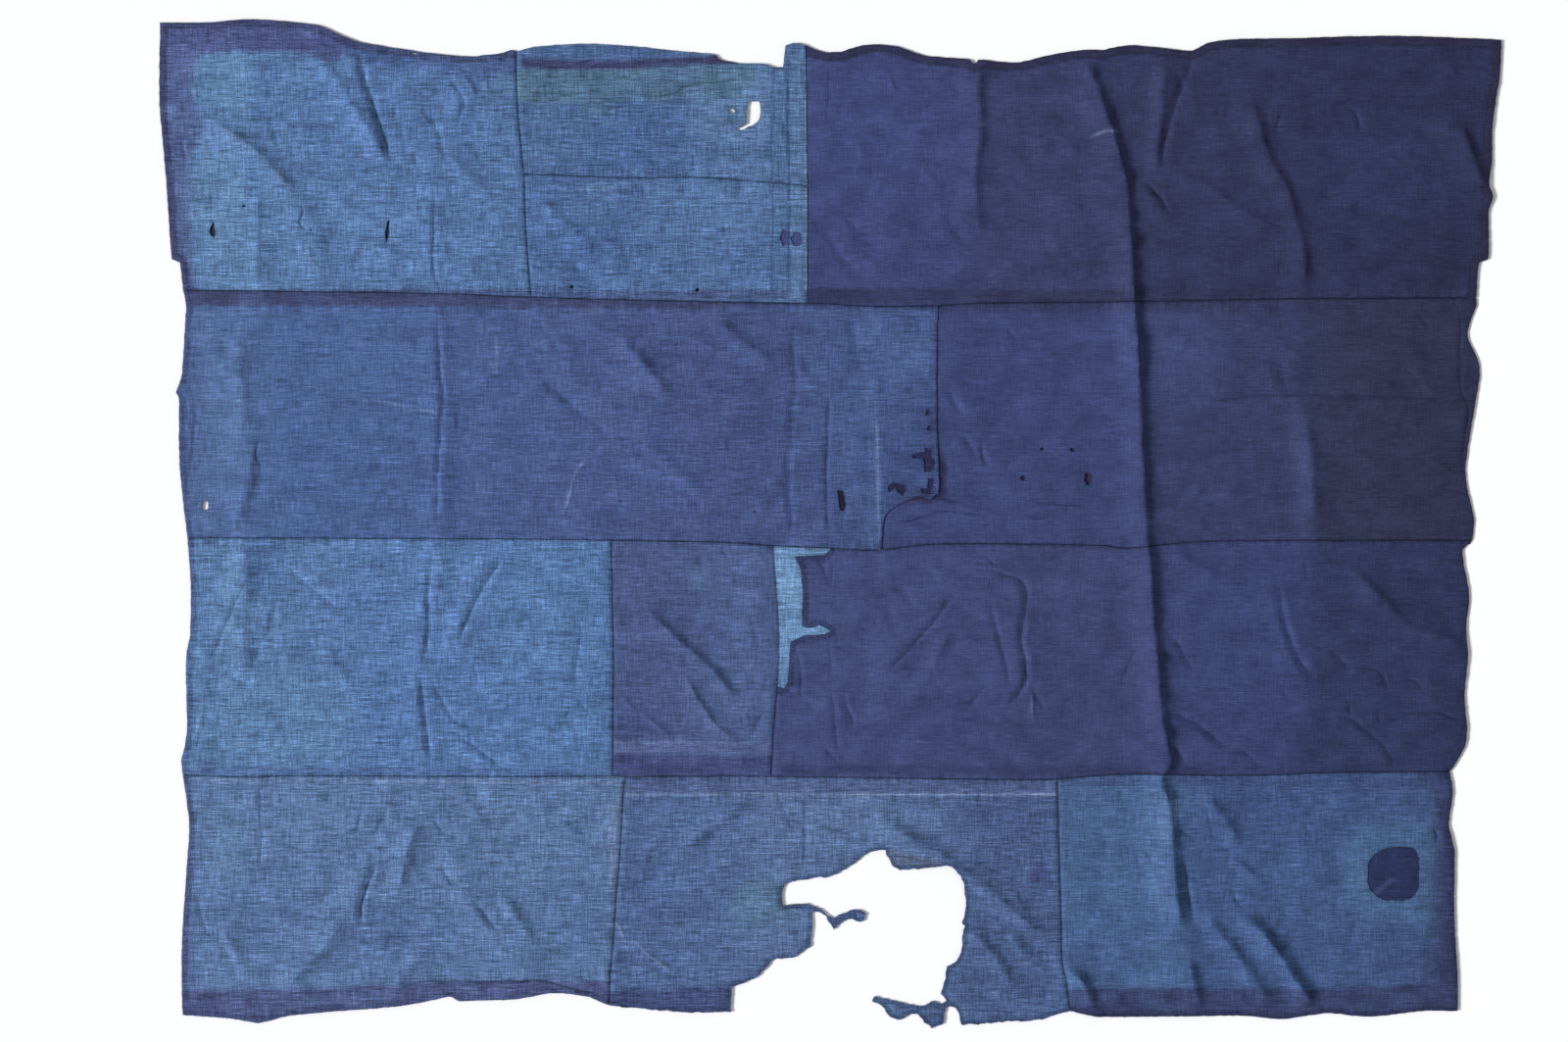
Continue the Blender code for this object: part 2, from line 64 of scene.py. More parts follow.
# The lie of the whole cloth. It was folded away for years and is spread out again, so soft folds and sharp
# creases run through its layers and over its seams. A crease stands up as a ridge where its height is positive
# and sinks as a trough where it is negative. Where `wear_and_shade_line` is positive its crest is worn pale, and
# where it is negative the crease is darkened along its path by dirt and painted shade.
# path from its top end, width to the left, width to the right, height, wear_and_shade_line
creases = [
    # first row, left panel
    (((198, 33), (213, 55), (229, 80), (245, 108), (263, 134), (279, 160), (293, 190)), 26, 20, 3.5, 0),
    (((250, 28), (256, 48), (264, 80), (273, 105), (283, 134), (291, 160), (295, 188)), 10, 9, -3, -0.5),
    (((58, 126), (83, 140), (105, 156), (128, 173), (149, 196), (164, 213), (176, 229)), 26, 14, 3, 0.5),
    (((138, 108), (144, 128), (151, 153), (159, 175)), 8, 6, -1.6, 0),
    (((33, 143), (31, 158), (35, 175), (38, 195)), 6, 5, -1.2, 0),
    (((176, 235), (184, 244), (180, 260), (188, 270), (195, 276)), 4, 3, -1.6, -0.8),
    (((183, 275), (189, 290), (195, 308), (208, 320), (223, 330)), 10, 4, 0.8, 0.6),
    (((126, 213), (127, 250), (126, 290), (125, 345)), 14, 10, 1.6, 0),
    (((69, 200), (68, 262)), 4, 4, -0.7, 0),
    (((355, 213), (351, 244), (351, 275), (351, 303), (354, 331), (359, 346)), 5, 4, -1.6, -0.4),
    (((210, 213), (235, 234), (263, 249), (292, 258)), 16, 12, 1.6, 0),
    (((279, 275), (298, 298), (320, 309), (348, 319)), 18, 14, 1.8, 0),
    (((318, 203), (304, 213), (294, 225), (290, 238)), 3, 3, -0.8, 0),
    (((345, 115), (354, 135), (360, 153), (365, 173), (375, 188)), 8, 7, -1.8, 0),
    (((328, 104), (338, 125), (348, 144)), 8, 6, 1.2, 0.3),
    (((368, 59), (376, 78), (385, 95), (390, 109), (385, 125), (380, 148)), 7, 6, -1.8, 0),
    (((381, 60), (393, 78), (401, 90), (405, 103)), 8, 5, 1.4, 0),
    (((413, 63), (418, 81), (420, 100)), 5, 4, 1.2, 0),
    (((323, 163), (328, 179), (333, 198)), 6, 5, -1.2, 0),
    (((393, 150), (410, 173), (423, 185)), 10, 8, -1.6, 0),
    (((366, 169), (385, 190), (410, 213), (435, 225)), 18, 12, 1.6, 0),
    # first row, middle panels
    (((598, 94), (635, 98), (660, 94), (673, 85), (710, 80), (754, 78)), 3, 3, -0.6, -0.5),
    (((473, 225), (495, 240), (516, 256), (538, 276), (563, 296)), 22, 12, 2.2, 0),
    (((673, 156), (683, 173), (684, 198)), 4, 4, -1, 0),
    (((638, 140), (660, 154)), 3, 3, -0.7, 0),
    (((583, 256), (591, 281), (598, 303)), 10, 8, -1.2, 0),
    # first row, dark panel
    (((854, 56), (853, 100), (850, 131)), 2, 2, -0.6, -0.4),
    (((929, 69), (938, 88), (944, 100)), 8, 5, 1, 0),
    (((875, 75), (904, 80), (925, 83)), 3, 3, -0.6, -0.3),
    (((873, 253), (885, 260), (895, 270)), 8, 6, -1.4, 0),
    (((835, 256), (855, 281), (872, 303), (898, 331)), 12, 10, -1.6, 0),
    (((1046, 53), (1046, 100), (1048, 150), (1044, 175), (1041, 200), (1044, 244), (1051, 281)), 30, 12, 2.5, 0),
    (((1004, 256), (1016, 269), (1029, 288)), 10, 8, -1.4, 0),
    (((1076, 123), (1083, 131)), 4, 4, -0.8, 0),
    (((1284, 53), (1280, 81), (1278, 113), (1274, 150), (1273, 175), (1275, 198)), 16, 12, 2.5, 0),
    (((1298, 60), (1304, 85), (1296, 110), (1288, 138), (1280, 165), (1278, 195)), 12, 8, -2.5, -0.4),
    (((1321, 48), (1313, 69), (1306, 86)), 8, 6, -1.5, 0),
    (((1250, 205), (1263, 213), (1276, 225), (1284, 238), (1293, 253)), 8, 5, -2, -0.5),
    (((1279, 200), (1298, 205), (1313, 219)), 10, 8, -1.5, 0),
    (((1325, 203), (1360, 229), (1398, 253), (1423, 269), (1445, 281)), 20, 10, 1.5, 0),
    (
        ((1389, 94), (1401, 128), (1408, 161), (1425, 196), (1438, 215), (1450, 259), (1459, 288), (1460, 350)),
        24, 12, 2.5, 0,
    ),
    (((1438, 106), (1431, 125), (1423, 154)), 6, 5, -1.4, 0),
    (((1508, 104), (1523, 116), (1531, 133), (1533, 150)), 5, 5, -1.4, 0),
    (((1653, 129), (1664, 150), (1673, 175), (1685, 200), (1698, 223)), 22, 14, 4, 0),
    (((1641, 56), (1656, 73)), 8, 6, 1.2, 0),
    (((1626, 279), (1673, 284)), 2, 2, -0.4, -0.3),
    (((1178, 153), (1208, 144), (1231, 144)), 2, 2, 0.2, 0.8),
    # the long crease from the top edge down through all four rows
    (
        (
            (1181, 51), (1189, 70), (1199, 93), (1205, 113), (1213, 134), (1219, 154), (1226, 181), (1231, 198),
            (1234, 221), (1236, 244), (1238, 275), (1240, 303), (1241, 325), (1244, 363), (1245, 388),
            (1248, 425), (1249, 463), (1251, 488),
        ),
        30, 11, 4.5, 0,
    ),
    (
        (
            (1249, 463), (1251, 488), (1253, 525), (1254, 556), (1256, 588), (1258, 625), (1260, 661),
            (1264, 696), (1268, 761), (1271, 794), (1274, 820), (1276, 856), (1279, 889), (1285, 921),
            (1290, 945), (1279, 969), (1285, 994), (1291, 1021), (1295, 1075), (1301, 1138), (1308, 1163),
        ),
        30, 11, 4, -0.25,
    ),
    # second row, left panel
    (((54, 479), (48, 500), (45, 525), (43, 556), (39, 581), (35, 600)), 4, 3, -1, -0.5),
    (((105, 388), (104, 438), (108, 488), (116, 525)), 18, 14, 1.8, 0),
    (((120, 544), (119, 575), (114, 600), (106, 625), (103, 650)), 20, 12, 2.5, 0),
    (((133, 525), (129, 535), (125, 548), (125, 558), (130, 568), (138, 573)), 3, 3, -0.8, -0.7),
    (
        (
            (356, 373), (356, 400), (358, 425), (360, 450), (363, 475), (364, 490), (361, 513), (359, 538),
            (356, 575), (355, 613), (355, 650),
        ),
        8, 5, -2, -0.3,
    ),
    (((381, 481), (384, 531)), 6, 6, -1, 0),
    (((298, 481), (348, 494)), 4, 4, -0.6, 0),
    (((479, 375), (500, 406), (523, 438)), 10, 10, -1.2, 0),
    (((479, 456), (504, 473), (529, 496), (554, 515), (570, 529), (580, 544)), 14, 14, -2.5, -0.2),
    (((583, 398), (600, 419), (619, 440), (638, 463), (658, 483)), 24, 14, 3, 0),
    (((700, 378), (725, 395), (748, 413), (770, 428), (791, 440)), 24, 14, 3, 0),
    (((816, 431), (835, 450), (854, 469)), 10, 10, -1.6, 0),
    (
        (
            (811, 388), (811, 425), (813, 456), (810, 500), (808, 538), (805, 563), (805, 600), (808, 625),
            (808, 663),
        ),
        9, 5, -2, 0,
    ),
    (((855, 475), (854, 513), (853, 550), (851, 588), (853, 625), (855, 663)), 4, 5, -2, -0.4),
    (((598, 531), (616, 553), (638, 565), (654, 588), (673, 600), (688, 619), (700, 638)), 14, 12, -2, 0),
    (((554, 553), (538, 569), (528, 590), (520, 619), (513, 644)), 5, 4, 0.8, 0.6),
    (((573, 573), (583, 588), (585, 625)), 6, 5, 0.8, 0.3),
    (((883, 375), (888, 406), (894, 438), (904, 456)), 12, 10, -1.8, 0),
    # second row, dark panel
    (((1004, 463), (1016, 488), (1035, 513)), 8, 8, -1.5, 0),
    (((1023, 525), (1035, 544), (1045, 563)), 8, 6, -1.8, -0.3),
    (((1048, 538), (1054, 563), (1066, 573)), 5, 5, -1.4, 0),
    (((1076, 388), (1089, 403), (1098, 406)), 5, 5, -0.8, 0),
    (((1101, 613), (1148, 618), (1190, 623)), 3, 3, -0.8, -0.5),
    (((1098, 625), (1113, 635), (1135, 638)), 3, 3, -0.6, -0.4),
    (((945, 615), (973, 608), (993, 608), (1016, 615), (1043, 620)), 4, 4, -1.2, -0.5),
    (((929, 638), (960, 638), (998, 628), (1063, 634)), 4, 3, -0.9, -0.4),
    (((1298, 625), (1341, 588)), 12, 10, 1.2, 0),
    (((1335, 488), (1373, 483), (1423, 478), (1473, 479), (1548, 480), (1610, 483), (1654, 484)), 5, 6, -1.2, -0.3),
    (((1458, 500), (1466, 538), (1470, 575), (1473, 644)), 24, 14, 2, 0),
    (((1429, 431), (1438, 475)), 10, 10, -1.2, 0),
    (((1573, 444), (1598, 450), (1610, 475)), 5, 5, -0.8, 0),
    (((1598, 369), (1616, 388), (1620, 406)), 5, 5, -0.8, 0),
    (
        (
            (1658, 366), (1659, 400), (1660, 438), (1661, 475), (1669, 488), (1670, 506), (1665, 538),
            (1663, 563), (1665, 588),
        ),
        4, 4, -1, -0.4,
    ),
    # third row, light panel
    (((115, 705), (104, 731), (89, 764), (75, 798), (56, 829)), 8, 9, -1.3, -0.35),
    (((163, 723), (150, 746), (144, 775), (130, 795), (124, 815), (109, 829)), 14, 10, -2.2, -0.3),
    (((110, 656), (114, 725), (109, 775), (105, 838)), 30, 20, 2, 0),
    (((163, 690), (173, 705), (191, 723), (210, 738), (236, 753)), 8, 6, -1.5, -0.15),
    (((445, 676), (429, 700), (413, 723), (403, 744), (390, 770), (381, 794)), 8, 9, -2.4, -0.6),
    (((381, 794), (378, 805), (376, 815)), 12, 8, -1.2, -0.3),
    (((350, 668), (344, 713), (343, 750), (343, 788), (339, 810), (330, 821)), 7, 9, -2.2, -0.4),
    (((335, 829), (336, 856), (340, 894), (344, 931), (345, 960)), 8, 8, -2.2, -0.45),
    (((330, 850), (328, 875)), 3, 3, 0.6, 0.6),
    (((321, 903), (311, 919), (300, 935)), 5, 4, -1, -0.2),
    (((348, 838), (360, 865), (375, 891), (395, 901), (423, 910), (454, 923)), 6, 6, -1.2, -0.2),
    (((364, 899), (385, 915), (410, 933), (443, 960)), 7, 8, -1.9, -0.35),
    (((400, 813), (406, 838), (408, 858)), 5, 5, -1.1, -0.2),
    (((200, 781), (229, 825), (258, 869)), 20, 16, 1.5, 0),
    (((85, 828), (98, 843), (125, 850)), 5, 5, -0.9, -0.25),
    (((148, 828), (163, 850)), 5, 5, -0.8, -0.2),
    (((119, 850), (118, 863), (110, 873)), 3, 3, -0.6, -0.3),
    (((58, 850), (54, 888), (43, 923)), 5, 6, 1, 0.3),
    (((535, 765), (539, 783), (534, 806), (531, 844), (535, 858)), 6, 7, -1.4, -0.25),
    (((535, 860), (548, 885), (563, 906)), 4, 4, -0.7, 0),
    (((529, 869), (518, 891), (515, 905), (523, 910)), 4, 3, -0.9, -0.3),
    (((529, 715), (551, 720)), 2.5, 2.5, -0.5, -0.25),
    # third row, grey panel
    (((619, 746), (648, 775), (673, 798), (698, 820), (723, 846), (743, 868)), 18, 9, 2.6, -0.35),
    (((583, 855), (598, 870), (613, 888)), 8, 7, 1.4, -0.25),
    (((610, 878), (630, 894), (648, 909), (658, 921)), 8, 7, 1.6, -0.3),
    (((668, 831), (679, 854), (693, 876), (710, 900), (733, 918), (750, 925)), 10, 9, 2, 0.15),
    (((690, 678), (695, 713)), 7, 9, -1, 0),
    (((714, 669), (729, 690)), 4, 5, -1, -0.2),
    (((776, 869), (766, 894), (750, 921)), 7, 6, -1.3, -0.1),
    (((763, 853), (759, 873), (768, 884)), 4, 4, -0.8, -0.2),
    (((598, 675), (583, 691)), 4, 4, -0.8, -0.2),
    (((575, 910), (598, 925)), 5, 5, 0.8, 0),
    (((760, 769), (766, 810)), 6, 7, -0.9, 0),
    # third row, dark panel
    (((931, 703), (948, 725), (968, 753)), 12, 9, -1.8, 0),
    (((923, 740), (938, 769), (948, 800)), 12, 10, -1.7, 0),
    (((1020, 726), (998, 755), (973, 785), (949, 810), (924, 838)), 7, 6, -1.6, -0.35),
    (((1011, 773), (998, 800), (978, 840), (955, 891)), 16, 16, 1.8, 0),
    (((1059, 731), (1068, 775), (1075, 803), (1083, 835), (1088, 858)), 7, 6, -1.6, -0.3),
    (((1053, 683), (1060, 691), (1071, 699)), 3, 3, -0.8, -0.4),
    (
        (
            (1055, 700), (1079, 708), (1098, 716), (1106, 728), (1104, 756), (1100, 788), (1105, 825),
            (1106, 840), (1095, 860), (1078, 878),
        ),
        9, 7, -2.4, -0.5,
    ),
    (((1110, 846), (1120, 866), (1133, 885)), 6, 6, -1.5, -0.3),
    (((1113, 850), (1114, 900)), 5, 5, 1, 0.2),
    (((1059, 844), (1041, 866), (1026, 884)), 5, 5, -1.2, -0.3),
    (((879, 850), (875, 869), (883, 891), (888, 910)), 9, 6, -2, -0.4),
    (((856, 850), (861, 881), (863, 913), (868, 944)), 6, 6, -1.3, -0.3),
    (((823, 869), (840, 884)), 5, 5, -1, -0.3),
    (((813, 796), (819, 838), (818, 873)), 5, 4, -1.1, -0.35),
    (((855, 794), (856, 838)), 3, 4, -1.2, -0.4),
    (((843, 921), (860, 941), (875, 958)), 6, 6, -1.2, -0.2),
    (((835, 683), (848, 700), (855, 725)), 4, 4, -1, -0.35),
    (((860, 691), (856, 725)), 3, 3, -0.8, -0.35),
    (((1248, 796), (1236, 825), (1224, 850)), 5, 5, -1, -0.25),
    (((1216, 678), (1235, 689), (1256, 698)), 5, 4, -1, -0.25),
    (((1279, 675), (1304, 688), (1333, 700), (1355, 715)), 26, 16, 3, 0),
    (((1281, 775), (1298, 794), (1310, 815), (1324, 838)), 8, 7, -1.9, -0.3),
    (((1283, 885), (1304, 889), (1325, 900), (1345, 916), (1365, 933)), 9, 9, -2.2, -0.3),
    (((1285, 921), (1300, 935), (1314, 958)), 8, 7, -1.6, -0.3),
    (((1374, 926), (1391, 940), (1410, 956)), 8, 7, -1.7, -0.35),
    (((1360, 846), (1391, 850), (1406, 855)), 3, 3, -0.7, -0.3),
    (((1426, 718), (1431, 748), (1438, 779), (1448, 805), (1461, 826), (1479, 846)), 10, 9, -2.6, -0.35),
    (((1433, 850), (1440, 869)), 6, 6, -1.2, 0),
    (
        ((1518, 696), (1541, 720), (1566, 743), (1583, 765), (1610, 779), (1645, 790), (1665, 800)),
        22, 10, 2.2, 0,
    ),
    (((1488, 800), (1505, 815), (1523, 835)), 8, 7, -1.9, -0.35),
    (((1523, 825), (1553, 831), (1564, 845), (1568, 865)), 5, 5, -1.4, -0.35),
    (((1583, 835), (1604, 846), (1615, 863)), 6, 6, -1.3, -0.2),
    (((1500, 886), (1524, 895), (1548, 914), (1568, 935), (1573, 955)), 8, 8, -2.2, -0.45),
    (((1516, 866), (1520, 891)), 4, 4, -0.9, -0.3),
    (((1555, 874), (1556, 901)), 4, 4, -1, -0.35),
    (((1558, 903), (1589, 889), (1628, 883), (1649, 891), (1665, 900)), 4, 5, -1, -0.3),
    (((1463, 675), (1464, 725)), 6, 6, -0.8, 0),
    # fourth row, left panel
    (((278, 1064), (273, 1088), (265, 1109), (259, 1131), (258, 1163)), 12, 6, -3.2, -0.55),
    (((341, 1018), (328, 1038), (318, 1063), (313, 1088), (304, 1119)), 18, 10, 2, -0.25),
    (((294, 996), (285, 1019), (276, 1038), (266, 1051)), 5, 5, -1.3, -0.3),
    (((265, 990), (255, 1025), (250, 1053)), 5, 7, -1, -0.2),
    (((146, 1046), (173, 1055), (188, 1063), (198, 1073)), 7, 7, -1.7, -0.35),
    (((348, 1014), (360, 1031), (370, 1044)), 5, 5, -0.9, 0),
    (((370, 1068), (363, 1080), (370, 1095), (381, 1113)), 5, 5, -1.4, -0.3),
    (((398, 1115), (413, 1138), (425, 1154), (441, 1173)), 8, 8, -2, -0.35),
    (((431, 1106), (454, 1138), (473, 1169), (481, 1185)), 18, 14, 2.4, 0),
    (((398, 990), (414, 1025), (426, 1053), (433, 1081)), 9, 8, 1.1, -0.15),
    (((244, 1144), (224, 1168), (204, 1194), (184, 1213), (161, 1244)), 30, 28, 3.4, -0.2),
    (((176, 1170), (160, 1194), (148, 1206), (134, 1225)), 16, 8, -2.2, 0),
    (((339, 1198), (323, 1208), (309, 1225), (296, 1253)), 18, 14, 2.4, 0),
    (((303, 1150), (295, 1175), (286, 1204)), 6, 6, -1, -0.15),
    (((283, 1173), (298, 1169), (323, 1169), (348, 1166)), 2.5, 2.5, -0.6, -0.4),
    (((373, 1160), (391, 1168), (423, 1171)), 3, 3, -0.6, -0.25),
    (((48, 1106), (53, 1138), (61, 1160), (71, 1179)), 6, 6, -1.5, -0.3),
    (((79, 1156), (98, 1188), (118, 1223)), 10, 12, 1.3, 0),
    (((173, 1103), (179, 1125)), 5, 5, -0.7, 0),
    (((216, 1106), (208, 1131)), 5, 5, -0.9, 0),
    (((129, 969), (131, 1025), (130, 1088)), 4, 4, -0.8, -0.25),
    (((456, 1053), (454, 1066), (459, 1076), (458, 1085), (464, 1096)), 3, 3, -0.8, -0.4),
    (((498, 1110), (494, 1144)), 6, 6, -0.8, 0),
    (
        (
            (310, 1230), (348, 1226), (398, 1226), (448, 1226), (491, 1226), (513, 1231), (541, 1238),
            (575, 1245),
        ),
        5, 4, -1.6, -0.6,
    ),
    (((33, 1241), (85, 1243), (154, 1248), (185, 1240), (223, 1238), (291, 1243)), 4, 4, -0.9, -0.3),
    # fourth row, torn panel
    (((581, 1144), (590, 1163), (599, 1179)), 3, 3, 0.8, 0.6),
    (((601, 1171), (623, 1190), (645, 1206), (661, 1218)), 4, 4, 1, 0.7),
    (((760, 990), (729, 1013), (704, 1031), (681, 1046), (666, 1063), (654, 1074)), 14, 12, 2.3, -0.1),
    (((651, 1038), (629, 1056), (610, 1083)), 12, 11, 1.6, 0),
    (((794, 990), (801, 1019), (813, 1038), (823, 1049)), 6, 6, -1.4, -0.3),
    (((823, 975), (824, 1025), (823, 1081)), 4, 9, -1, -0.15),
    (((833, 1016), (853, 1029), (875, 1038), (904, 1048)), 8, 7, -1.8, -0.3),
    (((909, 1003), (929, 1023), (950, 1040), (979, 1056), (1016, 1080)), 14, 13, 2.2, 0),
    (((993, 1059), (1016, 1080), (1045, 1100), (1070, 1118), (1091, 1138), (1126, 1165)), 16, 12, 2.6, 0),
    (((1076, 1099), (1093, 1121), (1111, 1149)), 11, 11, 1.8, 0),
    (((1083, 1161), (1098, 1183), (1116, 1201), (1133, 1219)), 13, 12, 2.6, -0.2),
    (((1030, 1155), (1048, 1173), (1066, 1194), (1079, 1215), (1094, 1231)), 12, 12, 2.6, -0.2),
    (((1154, 1198), (1163, 1213), (1178, 1225), (1188, 1244), (1199, 1270)), 16, 11, 4, -0.4),
    (((575, 1224), (604, 1220), (625, 1216), (638, 1219)), 4, 4, -1.1, -0.5),
    (((664, 1206), (659, 1225)), 4, 4, -0.8, -0.3),
    (((929, 1063), (954, 1068), (978, 1073), (995, 1075)), 4, 4, -1.2, -0.5),
    # fourth row, right panel
    (((1214, 1038), (1208, 1050), (1205, 1070)), 6, 6, -1.3, -0.15),
    (((1173, 1080), (1193, 1083), (1204, 1091), (1199, 1100)), 4, 4, -0.9, -0.3),
    (((1173, 1128), (1195, 1140), (1205, 1145)), 5, 5, -0.8, 0),
    (((1229, 979), (1223, 1003)), 5, 5, -0.9, -0.15),
    (((1254, 1055), (1268, 1076)), 5, 5, -1.1, -0.2),
    (((1289, 1031), (1310, 1038), (1326, 1053)), 4, 4, -0.9, -0.25),
    (((1306, 1066), (1310, 1094), (1315, 1125), (1320, 1158)), 8, 6, -2, -0.5),
    (((1315, 1190), (1318, 1213), (1325, 1244), (1334, 1270)), 20, 10, 3, -0.3),
    (((1333, 998), (1339, 1019), (1345, 1045)), 5, 5, -1.3, -0.25),
    (((1325, 975), (1348, 1005), (1370, 1038), (1383, 1060)), 18, 12, 2.4, 0),
    (((1330, 1053), (1329, 1075)), 4, 4, -1, -0.25),
    (((1360, 1060), (1385, 1081), (1408, 1106)), 14, 10, 2, 0),
    (((1368, 1104), (1375, 1125), (1388, 1134)), 5, 5, -1.3, -0.3),
    (((1375, 1138), (1404, 1160), (1423, 1183), (1436, 1203), (1450, 1223), (1476, 1260)), 26, 16, 5, -0.3),
    (((1331, 1135), (1355, 1164), (1378, 1194), (1398, 1225), (1423, 1258)), 18, 11, 2.8, -0.3),
    (((1533, 1138), (1524, 1156), (1514, 1190)), 9, 10, -1.8, -0.1),
    (((1505, 1115), (1499, 1144)), 6, 6, -1, 0),
    (((1450, 1016), (1463, 1029), (1471, 1050)), 6, 6, -1.3, -0.25),
    (((1623, 1028), (1629, 1040), (1625, 1053)), 4, 4, -1.2, -0.4),
    (((1645, 1206), (1626, 1213), (1608, 1229)), 4, 4, -0.8, -0.3),
]
rest_height = 2.6  # how high the upper side of the cloth lies between its folds
lowest_top = 1.1
crease_share = 1.3
fold_share = 0.6  # how much of the solids' folds the cloth keeps, beside its creases
crease_step = 3.0
solid_thick = 1.2
solid_lift = 1.7
cloth_lift = 1.4  # how far a piece that lies over another is raised
lift_full = 10
lift_foot = 36


def unevenness(across, down, wide, high, seed):
    """Soft random ups and downs from -1 to 1, about this wide and high in millimetres."""
    column, row = across / wide, down / high
    left, top = np.floor(column), np.floor(row)
    over, under = column - left, row - top
    over, under = over * over * (3 - 2 * over), under * under * (3 - 2 * under)

    def knot(i, j):
        value = np.sin(i * 127.1 + j * 311.7 + seed * 74.7) * 43758.5453
        return 2 * (value - np.floor(value)) - 1

    upper = knot(left, top) * (1 - over) + knot(left + 1, top) * over
    lower = knot(left, top + 1) * (1 - over) + knot(left + 1, top + 1) * over
    return upper * (1 - under) + lower * under


def crumpled(across, down, size, seed):
    """Small sharp ridges between soft dents, as in cloth that has been crushed."""
    wander = 0.5 * size * unevenness(across, down, 1.4 * size, size, seed + 20)
    return 0.5 - np.abs(unevenness(across + wander, down - 0.7 * wander, size, 0.85 * size, seed))


def ease(share):
    """0 to 1 as the share goes from 0 to 1, flat at both ends."""
    share = np.clip(share, 0, 1)
    return share * share * (3 - 2 * share)


def curve(points, step):
    """The points with a smooth curve's points between them, one each `step` or so."""
    ends = [points[0], *points, points[-1]]
    path = []
    for before, start, end, after in zip(ends, ends[1:], ends[2:], ends[3:]):
        before, start, end, after = (np.array(p, float) for p in (before, start, end, after))
        parts = max(1, math.ceil(np.linalg.norm(end - start) / step))
        for t in np.arange(parts) / parts:
            bend = 2 * before - 5 * start + 4 * end - after
            bend = bend + t * (3 * (start - end) + after - before)
            path.append(start + 0.5 * t * (end - before + t * bend))
    return np.array([*path, points[-1]], float)


def prepared(number, row):
    """A crease's path with a slight waver, its length so far at each point, and its sizes."""
    points, left, right, high, wear_and_shade_line = row
    path = curve(points, crease_step)
    run = np.concatenate([[0], np.cumsum(np.linalg.norm(np.diff(path, axis=0), axis=1))])
    waver = unevenness(run, run * 0 + number, 14, 1, 3) * min(1.0, run[-1] / 60)
    ahead = np.gradient(path, axis=0)
    ahead /= np.linalg.norm(ahead, axis=1)[:, None]
    aside = np.stack([ahead[:, 1], -ahead[:, 0]], axis=1)
    return path + aside * waver[:, None], run, aside, left, right, high, wear_and_shade_line


lines = [prepared(number, row) for number, row in enumerate(creases)]


def beside(path, run, across, down):
    """Each place's distance to the path, positive to its right, and how far along the path it is."""
    step = np.diff(path, axis=0)
    length = np.linalg.norm(step, axis=1)
    off_across = across[:, None] - path[:-1, 0]
    off_down = down[:, None] - path[:-1, 1]
    along = np.clip((off_across * step[:, 0] + off_down * step[:, 1]) / length**2, 0, 1)
    far = (off_across - along * step[:, 0]) ** 2 + (off_down - along * step[:, 1]) ** 2
    best = far.argmin(axis=1)
    rows = np.arange(len(across))
    side = off_across[rows, best] * step[best, 1] - off_down[rows, best] * step[best, 0]
    offset = np.sqrt(far[rows, best]) * np.where(side < 0, -1, 1)
    return offset, run[best] + along[rows, best] * length[best]


def creased(across, down):
    """The height that the creases give at these places, and how far their paths are worn pale or darkened by dirt and
    painted shade.
    """
    height = np.zeros(len(across))
    wear_and_painted_shade = np.zeros(len(across))
    for number, (path, run, _, left, right, high, wear_and_shade_line) in enumerate(lines):
        reach = max(left, right)
        (low_across, low_down), (far_across, far_down) = path.min(axis=0) - reach, path.max(axis=0) + reach
        near = np.nonzero(
            (across > low_across) & (across < far_across) & (down > low_down) & (down < far_down)
        )[0]
        if not len(near):
            continue
        offset, along = beside(path, run, across[near], down[near])
        fade = min(28.0, run[-1] * 0.4)
        share = ease(np.minimum(along, run[-1] - along) / fade)
        share = share * (1 + 0.35 * unevenness(along, along * 0 + number, 16, 1, 5))
        from_crest = np.sqrt(offset**2 + 0.5) / np.where(offset > 0, right, left)
        height[near] += high * share * np.clip(1 - from_crest, 0, 1) ** 1.6
        wear_and_painted_shade[near] += wear_and_shade_line * share * np.exp(-((offset / 1.3) ** 2))
    return height, wear_and_painted_shade


# The solids' own folds, read from their upper faces every few millimetres and softened.
field_step = 6.0
field_reach = 30.0


def raised(across, down, left, right, top, bottom):
    """1 over and near a covered box, falling to 0 at the foot of the raised cloth."""
    past = np.hypot(
        np.maximum(np.maximum(left - across, across - right), 0),
        np.maximum(np.maximum(top - down, down - bottom), 0),
    )
    return np.clip((lift_foot - past) / (lift_foot - lift_full), 0, 1)


def extent(node):
    """A node's left, right, top and bottom on the cloth, in millimetres."""
    low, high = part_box(node)
    return (
        low.x * 1000 + middle_across, high.x * 1000 + middle_across,
        middle_down - high.y * 1000, middle_down - low.y * 1000,
    )


beyond = 60  # a covered box runs on past a seam that ends it
covered = {
    ("panel_a2", "panel_a3"): (extent("panel_a4")[0], extent("panel_a2")[1], -beyond, 400),
    ("panel_b1",): (extent("panel_b2")[0], extent("panel_b1")[1], 330, 700),
    ("panel_c2", "panel_c3"): extent("pale_patch"),
    ("panel_d3",): extent("round_patch"),
}


def lifted(node, across, down):
    """How much of the full lift a piece has at these places, where it lies over another."""
    share = np.zeros(len(across))
    for uppers, box in covered.items():
        if node in uppers:
            share = np.maximum(share, raised(across, down, *box))
    return share


def solid_form(node):
    """A node's merged mesh, as bmesh."""
    form = bmesh.new()
    form.from_mesh(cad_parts[node].data)
    bmesh.ops.remove_doubles(form, verts=form.verts, dist=1e-6)
    form.normal_update()
    form.verts.index_update()
    return form


